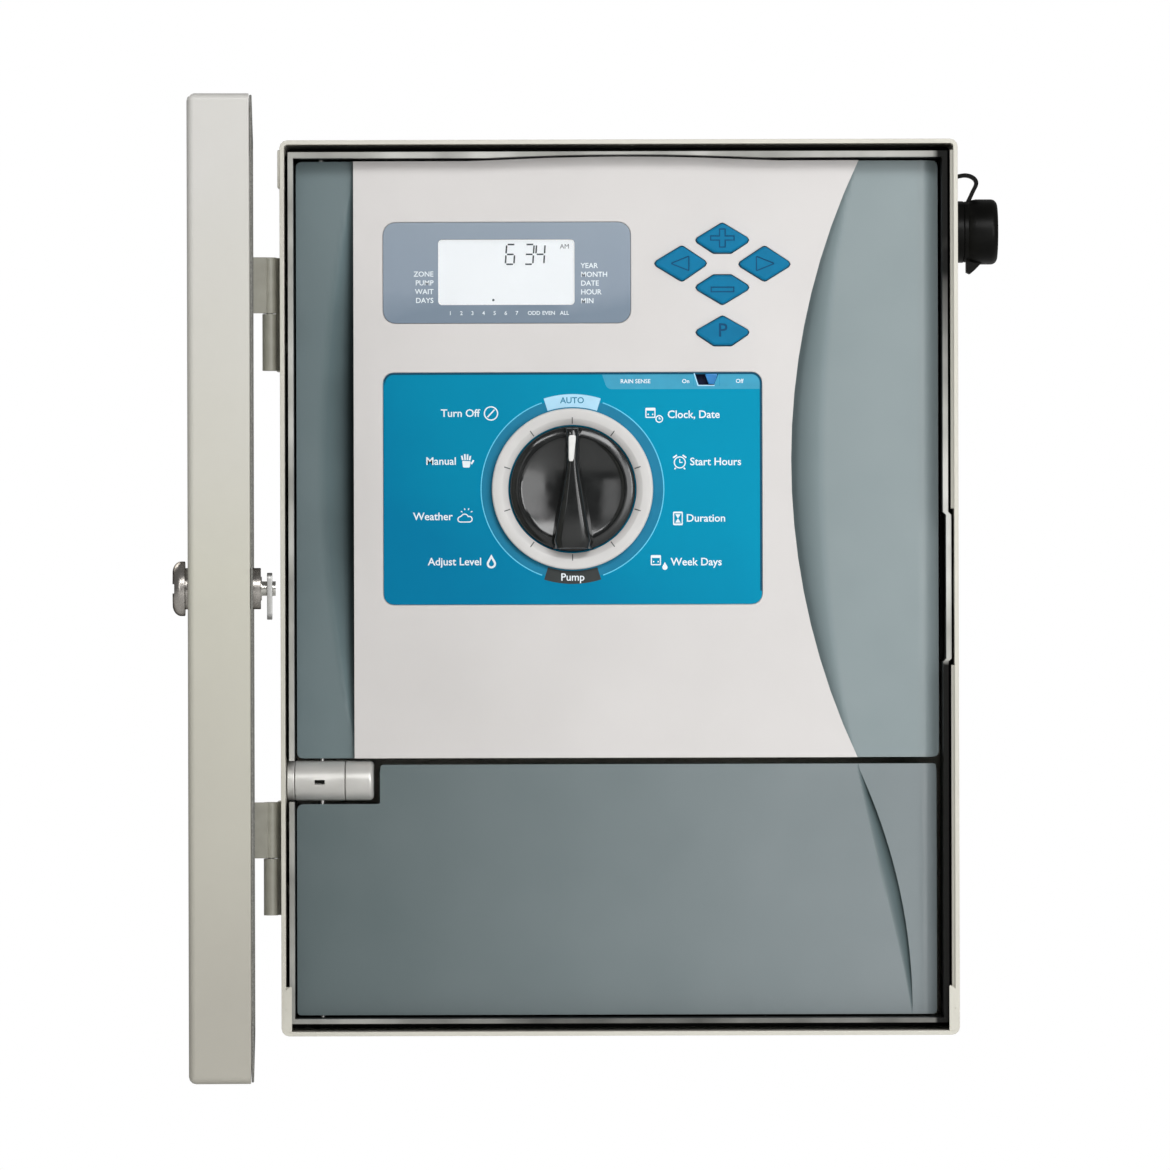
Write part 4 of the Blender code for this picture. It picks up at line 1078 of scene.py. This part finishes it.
def key_mark(name, x, z):
    """The symbol pressed into a key, as outlines of (X, Z) points."""
    if name == "plus":
        arm, wide = 5.6, 1.55
        cross = [(-wide, arm), (wide, arm), (wide, wide), (arm, wide), (arm, -wide), (wide, -wide)]
        cross += [(wide, -arm), (-wide, -arm), (-wide, -wide), (-arm, -wide), (-arm, wide), (-wide, wide)]
        return [[(x + a, z + b * 0.78) for a, b in cross]]
    if name == "minus":
        return [rectangle(x - 5.4, x + 5.4, z - 1.3, z + 1.3)]
    side = -1 if name == "left" else 1
    tip, back, half = 5.2, 4.0, 3.7
    corners = [(x + side * tip, z), (x - side * back, z + half), (x - side * back, z - half)]
    return [rounded(corners, 0.5, 3)]


def keys():
    """Domed rubber keys, each with its mark pressed in, and painted shade down in the mark: a dark outline
    round its floor, or a dark letter for the P.
    """
    for name in ("plus", "left", "right", "minus", "program"):
        node = f"key_{name}"
        x, y, z = limits(node)
        mesh = cad_mesh(node)
        front = y[0]
        round_edges(mesh, 1.3, 5, 40, lambda edge: all(v.co.y < front + 0.01 for v in edge.verts))
        depth, line, letter = 0.45, 1.1, 8.6
        centre = (middle(x), middle(z))
        if name == "program":
            cutter = lettering("P", letter, centre, 0)
            deeper = Matrix.Diagonal((1, 2 * depth / PRINT, 1, 1))
            cutter.transform(Matrix.Translation((0, front + depth, 0)) @ deeper)
            marks = lettering("P", letter, centre, front + depth)
        else:
            (outline,) = key_mark(name, *centre)
            marks = plate(ribbon(outline, line, True), (front + depth - PRINT, front + depth))
            cutter = plate([outline], (front - 1, front + depth))
        mesh = boolean(mesh, cutter)
        even_shading(piece(f"{node}_cap", mesh, "key_rubber", f"{name}_key", (node,)))
        # The dark marks are painted shade at the bottom of the pressed-in symbols
        piece(f"{node}_mark", marks, "key_mark", f"{name}_key")


# ---------------------------------------------------------------- dial


def dial_ring():
    x, y, z = limits("dial_ring")
    centre = (middle(x), 0, middle(z))
    outer = (x[1] - x[0]) / 2
    face, back = -y[0], -y[1]
    profile = [(RING_BORE, back), (outer, back), (outer, face - 0.9)]
    profile += bend((outer - 0.9, face - 0.9), (0.9, 0.9), 0.2, 1.57, 5)
    profile += [(RING_BEVEL + 0.3, face), (RING_BEVEL, face - 0.1), (RING_BORE + 0.35, face - 1.75)]
    profile += [(RING_BORE, face - 2.1)]
    mesh = turned(profile, (0, -1, 0), centre, 144)
    piece("dial_bezel", mesh, "ring_plastic", "panel", ("dial_ring",))
    marks = []
    half, proud, buried = 0.24, 0.05, 0.25
    run = [(RING_BORE + 0.5, face - 1.6), (RING_BEVEL, face), (RING_BEVEL + 0.8, face + proud)]
    strip = [(r, f + proud) for r, f in run] + [(r, f - buried) for r, f in reversed(run)]
    for n in range(TICKS):
        mark = plate([strip], (-half, half))
        turn = Matrix(((1, 0, 0, 0), (0, 0, -1, 0), (0, 1, 0, 0), (0, 0, 0, 1)))
        upward = Matrix.Rotation(-math.pi / 2, 4, "Y")
        around = Matrix.Rotation(math.tau * n / TICKS, 4, "Y")
        mark.transform(Matrix.Translation(centre) @ around @ upward @ turn)
        marks.append(mark)
    piece("dial_ticks", joined(marks), "ink_grey", "panel")


def knob_grip(rim, crest, sag):
    """The crowned grip: its half width at each height, drawn out towards its foot."""
    marks = [(27.6, 3.2), (24.5, 3.0), (18.0, 2.8), (11.0, 2.7)]
    marks += [(7.5, 3.2), (-8.0, 5.9), (-23.5, 8.6), (-27.2, 7.4)]
    narrow, row = 3.2, 2.5
    ends = [marks[0]]
    for start, end in zip(marks, marks[1:]):
        count = max(1, round((start[0] - end[0]) / row))
        for n in range(1, count + 1):
            ends.append(tuple(a + (b - a) * n / count for a, b in zip(start, end)))
    layers = [(rim - 5.2, 1.0), (rim - 1.6, 0.5), (crest - 4.0, 0.0), (crest - 2.1, -0.2)]
    layers += [(crest - 1.1, -0.55), (crest - 0.45, -1.1), (crest - 0.12, -1.7), (crest, -2.3)]
    rings = []
    for far, draft in layers:
        ring = []
        for side, rows in ((1, ends), (-1, ends[::-1])):
            for height, half in rows:
                fall = sag(height) if far > rim else 0.0
                wide = half + draft * (half / narrow) ** 0.8
                ring.append((side * wide, fall - far, height * (1 + draft * 0.012)))
        rings.append(ring)
    return lofted(rings, across=True)


def knob_line(crest, sag):
    """The white line on the grip, wider at its top."""
    left, right_top, right_bottom, top, bottom = -1.7, 1.75, 0.75, 24.2, 12.4
    chamfer, proud, depth = 0.3, 0.05, 1.6
    sections = []
    for height in steps_between(bottom, top, 10):
        front = sag(height) - crest - proud
        end = 0.35 if min(height - bottom, top - height) < 0.5 else 0.0
        side = left + end
        right = right_bottom + (right_top - right_bottom) * (height - bottom) / (top - bottom) - end
        section = [(side, front + depth), (side, front + chamfer), (side + chamfer, front)]
        section += [(right - chamfer, front), (right, front + chamfer), (right, front + depth)]
        sections.append([(px, py, height) for px, py in section])
    return lofted(sections)


def knob():
    """A glossy knob: a dished face crossed by a crowned grip that widens downwards."""
    x, y, z = limits("dial_knob")
    centre = (middle(x), 0, middle(z))
    radius = (x[1] - x[0]) / 2
    base, crest = -y[1], -y[0]
    rim = crest - 10.0
    profile = [(0, base), (radius - 0.3, base), (radius, base + 0.4), (radius - 0.3, rim - 3.4)]
    profile += bend((radius - 1.5, rim - 2.3), (1.1, 1.1), 0, 1.25, 6)
    profile += [(radius - 4.2, rim - 0.25), (radius - 4.45, rim - 0.3), (radius - 4.7, rim - 0.75)]
    hollow, reach = 3.0, radius - 4.9
    profile += [(reach * (1 - s), rim - 0.9 - hollow * (1 - (1 - s) ** 2)) for s in steps_between(0, 1, 16)]
    body = turned(profile, (0, -1, 0), centre, 144)

    def sag(height):
        """How far the crest falls away from its middle."""
        return 2.4 * (height / radius) ** 2

    grip = knob_grip(rim, crest, sag)
    grip.transform(Matrix.Translation(centre))
    piece("knob_cap", boolean(body, grip, "UNION"), "knob_black", "knob", ("dial_knob",))
    pointer = knob_line(crest, sag)
    pointer.transform(Matrix.Translation(centre))
    piece("knob_pointer", pointer, "pointer_white", "knob")
    refined("knob_shaft", "zinc_steel", 0.4, 3)
    refined("rotary_switch", "black_plastic", 0.6, 3)


# ---------------------------------------------------------------- dial label


def outline_circle(centre, radius, width):
    return [circle(centre, radius + width / 2, 36), circle(centre, radius - width / 2, 36)]


def drop(centre, size):
    """A drop, point up."""
    x, z = centre
    return [(x, z + size)] + arc((x, z - size * 0.25), size * 0.62, 62, 298, 14)


def calendar(centre, size):
    """A square page with two rings at its top."""
    x, z = centre
    page = [rectangle(x - size, x + size, z - size, z + size, 0.4, 2)]
    page.append(rectangle(x - size + 0.5, x + size - 0.5, z - size + 0.5, z + size * 0.45))
    dots = [circle((x + side * size * 0.45, z - size * 0.3), 0.36, 8) for side in (-1, 1)]
    return page + dots


def clock_face(centre, radius):
    x, z = centre
    hands = ribbon([(x, z + radius * 0.62), (x, z), (x + radius * 0.5, z)], 0.42)
    return outline_circle(centre, radius, 0.5) + hands


def off_sign(centre):
    x, z = centre
    return outline_circle(centre, 3.0, 0.55) + ribbon([(x - 1.6, z - 1.7), (x + 1.6, z + 1.7)], 0.6)


def hand_sign(centre):
    """An open hand: a palm, four fingers and a thumb."""
    x, z = centre
    corners = [(x - 1.9, z + 0.3), (x - 1.5, z - 2.8), (x + 1.5, z - 2.8), (x + 2.1, z + 0.1)]
    palm = [rounded(corners, 0.5, 3)]
    fingers = [((-1.6, 0.6), (-2.1, 2.6)), ((-0.55, 0.6), (-0.7, 3.3)), ((0.5, 0.6), (0.6, 3.2))]
    fingers += [((1.5, 0.5), (1.9, 2.5)), ((2.3, -1.2), (3.3, 0.5))]
    for start, end in fingers:
        palm += ribbon([(x + start[0], z + start[1]), (x + end[0], z + end[1])], 0.75)
    return palm


def weather_sign(centre):
    """A cloud with a sun over its shoulder."""
    x, z = centre
    cloud = arc((x - 1.7, z - 1.2), 1.2, 180, 335, 8) + arc((x + 0.2, z - 0.5), 1.7, 300, 430, 10)
    cloud += arc((x + 2.3, z - 1.1), 1.3, 10, 180, 8)
    rays = []
    for angle in (-60, -20, 20, 60):
        reach = [arc((x + 1.1, z + 1.0), radius, angle, angle, 1)[0] for radius in (2.2, 3.0)]
        rays += ribbon(reach, 0.45)
    return ribbon(cloud, 0.5, True) + rays


def adjust_sign(centre):
    """A drop with a smaller one cut out of it."""
    return [drop(centre, 3.4), drop((centre[0], centre[1] - 0.4), 1.9)]


def date_sign(centre):
    x, z = centre
    return calendar((x - 1.6, z + 0.9), 2.3) + clock_face((x + 2.4, z - 1.9), 1.5)


def alarm_sign(centre):
    x, z = centre
    bells = []
    for side in (-1, 1):
        bells += ribbon([(x + side * 1.3, z + 3.1), (x + side * 3.0, z + 1.9)], 0.7)
        bells += ribbon([(x + side * 1.8, z - 2.6), (x + side * 2.4, z - 3.3)], 0.6)
    return clock_face((x, z - 0.2), 2.5) + bells


def hourglass_sign(centre):
    x, z = centre
    frame_outline = [rectangle(x - 2.2, x + 2.2, z - 3.1, z + 3.1, 0.5, 3)]
    frame_outline.append(rectangle(x - 1.7, x + 1.7, z - 2.3, z + 2.3))
    sand = [[(x - 1.2, z + 1.9), (x + 1.2, z + 1.9), (x + 0.1, z + 0.1), (x - 0.1, z + 0.1)]]
    sand.append([(x - 1.2, z - 1.9), (x - 0.1, z - 0.1), (x + 0.1, z - 0.1), (x + 1.2, z - 1.9)])
    return frame_outline + sand


def days_sign(centre):
    x, z = centre
    return calendar((x - 1.6, z + 0.9), 2.3) + [drop((x + 2.5, z - 1.9), 1.9)]


# Height of each row above the dial's centre, then the sign's and the words' places from it
LEFT_ROWS = (
    (34.5, "Turn Off", off_sign, -37.0, -42.2),
    (12.7, "Manual", hand_sign, -48.3, -52.8),
    (-12.5, "Weather", weather_sign, -49.3, -54.6),
    (-33.1, "Adjust Level", adjust_sign, -37.0, -41.4),
)
RIGHT_ROWS = (
    (33.7, "Clock, Date", date_sign, 37.2, 43.3),
    (12.2, "Start Hours", alarm_sign, 48.9, 53.5),
    (-13.5, "Duration", hourglass_sign, 48.0, 51.7),
    (-33.4, "Week Days", days_sign, 39.5, 44.7),
)


def label_piece(name, mesh, ink):
    piece(name, mesh, ink, "panel")


def ring_print(centre, face):
    """The dial's field, and the line round it with its two patches. Returns the patches' radius."""
    ring_line, ring_zone, patch, gap = 41.6, 41.3, 17.5, 2
    under = (face - PRINT / 2, face)
    over = (face - PRINT, face - PRINT / 2)
    zone = plate([circle(centre, ring_zone, 144), circle(centre, RING_SHOULDER - 0.6, 144)], under)
    label_piece("label_ring_zone", zone, "ink_ring_blue")
    inner, outer = RING_SHOULDER + 1.1, ring_line + 1.6
    for name, ink, at in (("top", "ink_pale_blue", 0), ("bottom", "ink_dark", 180)):
        low, high = at - patch, at + patch
        sector = arc(centre, outer, low, high, 20) + arc(centre, inner, high, low, 20)
        label_piece(f"label_{name}_patch", plate([sector], over), ink)
    lines = []
    for start in (patch + gap, 180 + patch + gap):
        run = arc(centre, ring_line, start, start + 180 - 2 * patch - 2 * gap, 64)
        lines.append(plate(ribbon(run, 0.45), under))
    label_piece("label_ring_line", joined(lines), "ink_line_blue")
    return (inner + outer) / 2


def label_print():
    """What is printed on the dial's label: rings, signs and short generic words, and a painted shadow along
    its sunken edge.
    """
    x, y, z = limits("dial_label")
    dial = limits("dial_ring")
    centre = (middle(dial[0]), middle(dial[2]))
    face = y[0]
    radius = ring_print(centre, face)

    # A dark ribbon of painted shadow along the label's left, top and right edges, where it is sunk under
    # the bezel
    inset, corner = 0.45, 4.3
    left, right, top = x[0] + inset, x[1] - inset, z[1] - inset
    edge = [(left, z[0] + 30), (left, z[1] - 4.6)]
    edge += arc((left + corner, top - corner), corner, -90, 0, 8)
    edge += arc((right - corner, top - corner), corner, 0, 90, 8) + [(right, z[0] + 6)]
    edge_shadow = plate(ribbon(edge, 2 * inset), (face - PRINT - 0.01, face - PRINT / 2))
    label_piece("label_edge_shadow", edge_shadow, "edge_shadow_blue")

    words = []
    signs = []
    for rows, align in ((LEFT_ROWS, "RIGHT"), (RIGHT_ROWS, "LEFT")):
        for height, text, sign, sign_x, text_x in rows:
            words.append(lettering(text, 4.9, (centre[0] + text_x, centre[1] + height), face, align))
            signs.append(plate(sign((centre[0] + sign_x, centre[1] + height)), (face - PRINT, face)))
    words.append(lettering("Pump", 4.8, (centre[0], centre[1] - radius), face - PRINT / 2))
    label_piece("label_words", joined(words), "ink_white")
    label_piece("label_signs", joined(signs), "ink_white")
    word = lettering("AUTO", 3.9, (centre[0], centre[1] + radius), face - PRINT / 2)
    label_piece("label_top_word", word, "ink_ring_blue")


def sensor_print():
    """The paler band at the label's top, and the words beside the bypass switch."""
    x, y, z = limits("dial_label")
    slot, _, slot_z = limits("bypass_slider")
    ink = y[0] - PRINT / 2
    right, low, corner, trim = x[1] - 0.3, slot_z[0] - 0.75, 4.6, 0.2
    band_left, band_bottom = slot[0] - 47.0, z[1] - 7.6
    band = [(band_left, z[1], 0), (band_left + 2.6, band_bottom, 3.0), (right, band_bottom, 0.0)]
    band += [(right, low), (slot[0] - 5.1, low), (slot[0] - 5.1, z[1])]
    band_end = [(slot[1] + 0.5, low), (right, low), (right, z[1] - corner)]
    band_end += arc((right - corner, z[1] - trim - corner), corner, 90, 0, 8)
    band_end.append((slot[1] + 0.5, z[1] - trim))
    bands = [plate([rounded(outline, 0)], (ink, y[0])) for outline in (band, band_end)]
    label_piece("label_sensor_band", joined(bands), "ink_sky_blue")
    notes = []
    for words, place in (("RAIN SENSE", slot[0] - 31.5), ("On", slot[0] - 8.6), ("Off", slot[1] + 9.5)):
        notes.append(lettering(words, 2.6, (place, z[1] - 4.1), ink))
    label_piece("label_sensor_words", joined(notes), "ink_white")


def bypass():
    """A tapered thumb in a tapered slot. The slot's corners are masked level with the label, and a pale
    painted highlight runs along its left and lower edges.
    """
    x, y, z = limits("bypass_slider")
    face = limits("dial_label")[1][0]
    travel = 4.5
    taper, lean = 1.8, 2.0
    left, right = x[0] - travel - 0.15, x[1] - 0.15
    low, high = z[0] - 0.35, z[1] + 0.35
    opening = [(left + lean, low), (right - lean, low), (right + 0.15, high), (left, high)]
    margin = rectangle(left - 0.35, right + 0.5, low - 0.35, high + 0.3)
    mask = plate([margin, rounded(opening, 0.3, 3)], (face - 0.02, face + 1.4))
    label_piece("bypass_mask", mask, "ink_sky_blue")
    # Painted highlight: a pale ribbon where the light catches the slot's left and lower edges
    edge = [(left - 0.1, high), (left + lean - 0.35, low - 0.25), (right - lean + 0.3, low - 0.25)]
    lit = plate(ribbon(edge, 0.5), (face - 0.08, face - 0.02))
    label_piece("bypass_edge_highlight", lit, "ink_pale_blue")
    backing = box((left - 1, right + 1), (y[1] + 0.2, y[1] + 0.7), (low - 1, high + 1))
    piece("bypass_backing", round_edges(backing, 0.15, 2), "slot_navy", "panel")
    thumb = [(x[0] + taper + 0.1, z[0]), (x[1] - taper - 0.3, z[0])]
    thumb += [(x[1] - 0.4, z[1]), (x[0] + 0.15, z[1])]
    block = plate([rounded(thumb, 0.5, 4)], (y[0] + 0.35, y[1]))
    block = round_edges(block, 0.3, 3, 40)
    inward = 0.28
    inner = [(px + (middle(x) - px) * inward, pz + (middle(z) - pz) * inward) for px, pz in thumb]
    block = boolean(block, plate([rounded(inner, 0.3, 3)], (y[0] - 1, y[0] + 0.65)))
    piece("bypass_thumb", block, "slider_plastic", "bypass", ("bypass_slider",))


# ---------------------------------------------------------------- wiring cover


def wiring_cover():
    """The lower cover. The facepack's arc runs on down it as a ridge, beside a scooped-out crescent
    darkened with painted shade.
    """
    x, y, z = limits("wiring_cover")
    top_gap, bottom_gap, crescent, depth, edge_drop, rise = 35.8, 11.4, 6.4, 2.0, 1.4, 1.7
    darkest, shade_spread = 0.84, 0.4

    def ridge(height):
        share = (height - z[0]) / (z[1] - z[0])
        return x[1] - bottom_gap - (top_gap - bottom_gap) * share**2.1

    def scoop(px, pz):
        """How deep the crescent is here, as a share of its greatest depth."""
        height = min(max(pz, z[0]), z[1])
        width = crescent * math.sin(math.pi * ((z[1] - height) / (z[1] - z[0])) ** 0.85)
        behind = ridge(height) - px
        if width < 0.1 or not -0.01 <= behind < width:
            return 0.0
        return min(1.0, width / 3) * ease(1 - behind / width)

    columns = steps_between(ridge(z[1]) - crescent - 3, ridge(z[1]), 26)
    columns += steps_between(ridge(z[1]) + 0.25, x[1] - 1.2, 14)
    rows = steps_between(z[0] + 1.5, z[1] - 1.5, 48)
    mesh = gridded(cad_mesh("wiring_cover"), columns, rows)
    start, last = columns[0], x[1] - 4
    fixed = ridge(z[1])
    for vert in mesh.vertices:
        px, py, pz = vert.co
        line = ridge(min(max(pz, z[0]), z[1]))
        if fixed - crescent < px <= fixed + 0.01:
            px += line - fixed
        elif start < px <= fixed:
            px = start + (px - start) / (fixed - crescent - start) * (line - crescent - start)
        elif fixed < px < last:
            px = line + 0.25 + (px - fixed - 0.25) / (last - fixed) * (last - line)
        vert.co.x = px
        if pz > z[1] - 1:
            vert.co.z += rise
        if py > y[0] + 3:
            continue
        vert.co.y += depth * scoop(px, pz) + edge_drop * ease((px - (x[1] - 8)) / 8) ** 2
    round_edges(mesh, 0.9, 4, 50)
    # Painted shade in the crescent, darkest beside the ridge
    store_painted_shade(mesh, lambda px, pz: darkest * scoop(px, pz) ** shade_spread)
    even_shading(piece("lower_cover", mesh, "cover_plastic", "cover", ("wiring_cover",)))


# ---------------------------------------------------------------- side port


def port():
    """The capped socket on the right-hand wall: a ribbed rubber cap, its pull tab and its strap."""
    x, y, z = limits("port_cap")
    _, flange_y, flange_z = limits("port_connector")
    centre_y, centre_z = middle(flange_y), middle(flange_z)
    at = (0, centre_y, centre_z)
    radius = (y[1] - y[0]) / 2
    refined("port_connector", "rubber", 0.5, 3)
    refined("port_nut", "rubber", 0.6, 3)
    inside, curve = 9.3, 3.0
    back, front = x
    profile = [(inside, back - 1.0), (radius - 1.3, back - 1.0), (radius - 1.0, back - 0.7)]
    profile += [(radius - 1.0, back + 0.9), (radius - 0.6, back + 1.5)]
    profile += [(radius, back + 4.6), (radius, front - 3.2)]
    profile += bend((radius - curve, front - curve), (curve, curve), 0.1, 1.57, 8)
    profile += [(radius - 5.5, front), (radius - 6.0, front - 0.5), (0, front - 0.5)]
    profile += [(0, front - 4.5), (inside, front - 4.5)]
    shell = turned(profile, (1, 0, 0), at, 96)
    low = z[0]
    tab = [(back + 0.2, centre_z - 8), (back + 0.2, low + 1.2), (back + 2.0, low + 0.3, 0.8)]
    tab += [(back + 4.4, low + 2.4, 2.0), (back + 8.6, centre_z - radius + 2.0), (back + 8.6, centre_z - 8)]
    wedge = plate([rounded(tab, 0.3, 4)], (-4.2, 4.2))
    wedge.transform(Matrix.Translation((0, centre_y, 0)))
    shell = boolean(shell, round_edges(wedge, 0.5, 3, 40), "UNION")
    even_shading(piece("port_cap_shell", shell, "rubber", "cap", ("port_cap",)))


def through(points):
    """A smooth line through points, the first and last of which only steer it."""
    steps = 8

    def between(p, q, r, w, t):
        """A place on the curve from q to r, along one axis."""
        bow, twist = 2 * p - 5 * q + 4 * r - w, 3 * q - p - 3 * r + w
        return 0.5 * (2 * q + (r - p) * t + bow * t**2 + twist * t**3)

    line = []
    for stretch in zip(points, points[1:], points[2:], points[3:]):
        for n in range(steps):
            line.append(tuple(between(*values, n / steps) for values in zip(*stretch)))
    return line + [points[-2]]


def port_strap():
    """A flat rubber band looped from the wall to the cap."""
    x, y, z = limits("cap_strap")
    cap = limits("port_cap")
    wall = limits("cabinet_body")[0][1] - 0.6
    width, thick = 4.4, 1.8
    half = thick / 2
    landing = (cap[0][0] + 0.9, cap[2][1] - 1.6)
    right, top = x[1], z[1]
    guides = [(wall - 3, top - 3), (wall, top - 2.2), (x[0] + 4.4, top - half), (right - 2.4, top - 2.0)]
    guides += [(right - half, top - 4.6), (right - 2.6, top - 8.6)]
    guides += [landing, (landing[0] - 3, landing[1] - 4)]
    strap = plate(ribbon(through(guides), thick), (-width / 2, width / 2))
    strap.transform(Matrix.Translation((0, middle(y), 0)))
    strap = round_edges(strap, 0.3, 2, 40)
    strap.transform(Matrix.Scale(MM, 4))
    made = finish_mesh("strap_band", strap, "rubber")
    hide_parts("cap_strap")
    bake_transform(made)


# ---------------------------------------------------------------- behind the panel


def screw_head(at, radius, toward=(0, -1, 0)):
    """A pan head with a cross recess, its underside at this point."""
    height = radius * 0.55
    reach, slit = radius * 0.62, radius * 0.13
    profile = [(0, 0), (radius, 0)] + bend((0, 0), (radius, height), 0.25, 1.3, 6) + [(0, height)]
    head = turned(profile, (0, 0, 1), (0, 0, 0), 24)
    for angle in (0, math.pi / 2):
        bar = box((-reach, reach), (-slit, slit), (height * 0.45, height + 1))
        bar.transform(Matrix.Rotation(angle, 4, "Z"))
        head = boolean(head, bar)
    turn = Vector(toward).to_track_quat("Z", "Y").to_matrix().to_4x4()
    head.transform(Matrix.Translation(at) @ turn)
    return head


def corner_screws(x, z, inset, face, radius, toward=(0, -1, 0)):
    """A screw head in each corner of a face at this Y."""
    across, upward = (x[0] + inset, x[1] - inset), (z[0] + inset, z[1] - inset)
    return joined([screw_head((px, face, pz), radius, toward) for px in across for pz in upward])


def panel_back():
    """The electronics on the back of the facepack, seen when the panel swings out."""
    refined("controller_board", "board_mask", 0.25, 2)
    refined("backup_battery", "nickel", 0.5, 3)
    x, y, z = limits("facepack_case")
    back = y[1]
    ribs = []
    for n in range(5):
        level = z[0] + 40 + 34 * n
        rib = box((x[0] + 14, x[1] - 14), (back - 0.4, back + 1.2), (level - 1.2, level + 1.2))
        ribs.append(round_edges(rib, 0.4, 2))
    piece("case_ribs", joined(ribs), "black_plastic", "panel")
    piece("case_screws", corner_screws(x, z, 7, back, 3.2, (0, 1, 0)), "zinc_steel", "panel")


def wiring_bay():
    """The backplane with its modules, as seen with the cover open."""
    refined("backplane_board", "board_mask", 0.25, 2)
    screws, blocks, grips = [], [], []
    count, screw_up, screw_in = 6, 7.6, 3.2
    for node in ("power_module", "station_module_1", "station_module_2"):
        refined(node, "module_plastic", 0.8, 3)
        x, y, z = limits(node)
        step_top, step_y, level = z[0] + 12.0, y[0] + 8.0, z[0] + screw_up
        pitch = (x[1] - x[0] - 4) / count
        block = box((x[0] + 1.5, x[1] - 1.5), (step_y - 6.0, step_y), (z[0] + 1.2, step_top - 0.8))
        block = round_edges(block, 0.4, 2)
        for n in range(count):
            px = x[0] + 2 + pitch * (n + 0.5)
            well = rod(2.2, (px, step_y - 8, level), (px, step_y - screw_in, level), 20)
            mouth = box((px - 1.9, px + 1.9), (step_y - 5.2, step_y - 2.2), (z[0] + 0.5, z[0] + 3.6))
            block = boolean(boolean(block, well), mouth)
            screws.append(screw_head((px, step_y - screw_in, level), 1.9))
        blocks.append(block)
        grip = box((x[0] + 9, x[1] - 9), (y[0] - 1.0, y[0] + 1), (z[1] - 14, z[1] - 10))
        grips.append(round_edges(grip, 0.4, 2))
    piece("module_terminals", joined(blocks), "terminal_green", "cabinet")
    piece("module_screws", joined(screws), "nickel", "cabinet")
    piece("module_grips", joined(grips), "module_plastic", "cabinet")
    node = "module_lock_slider"
    bar = cad_mesh(node)
    x, y, z = limits(node)
    for n in range(6):
        end = x[1] - 15 + 2 * n
        bar = boolean(bar, box((end - 1, end), (y[0] - 1, y[0] + 0.7), (z[0] - 1, z[1] + 1)))
    bar = round_edges(bar, 0.3, 2)
    piece("lock_bar", bar, "block_silver", "module_lock", (node,))


def power_side():
    """Transformer, junction box, terminals and earth lug."""
    x, y, z = limits("transformer")
    split = -40.0
    core = round_edges(box(x, (split, y[1]), z), 0.8, 3)
    piece("transformer_core", core, "laminations", "cabinet", ("transformer",))
    coil = rectangle(x[0] + 12, x[1] - 12, z[0] + 8, z[1] - 8, 7, 8)
    wound = round_edges(plate([coil], (y[0], split + 0.3)), 1.4, 4)
    even_shading(piece("transformer_coil", wound, "winding", "cabinet"))
    piece("transformer_bolts", corner_screws(x, z, 6, split, 3.0), "zinc_steel", "cabinet")
    refined("junction_box", "panel_plastic", 0.6, 3)
    refined("mains_terminal_strip", "module_plastic", 0.5, 3)
    refined("ground_lug", "brass", 0.5, 3)
    for node in ("conduit_plug_left", "conduit_plug_right"):
        refined(node, "black_plastic", 0.8, 4)


make_materials()
camera()
studio()
floor()
cabinet()
door()
lock()
inner_hinge()
panel_frame()
facepack()
display_figures()
display_legend()
keys()
dial_ring()
knob()
label_print()
sensor_print()
bypass()
wiring_cover()
port()
port_strap()
panel_back()
wiring_bay()
power_side()
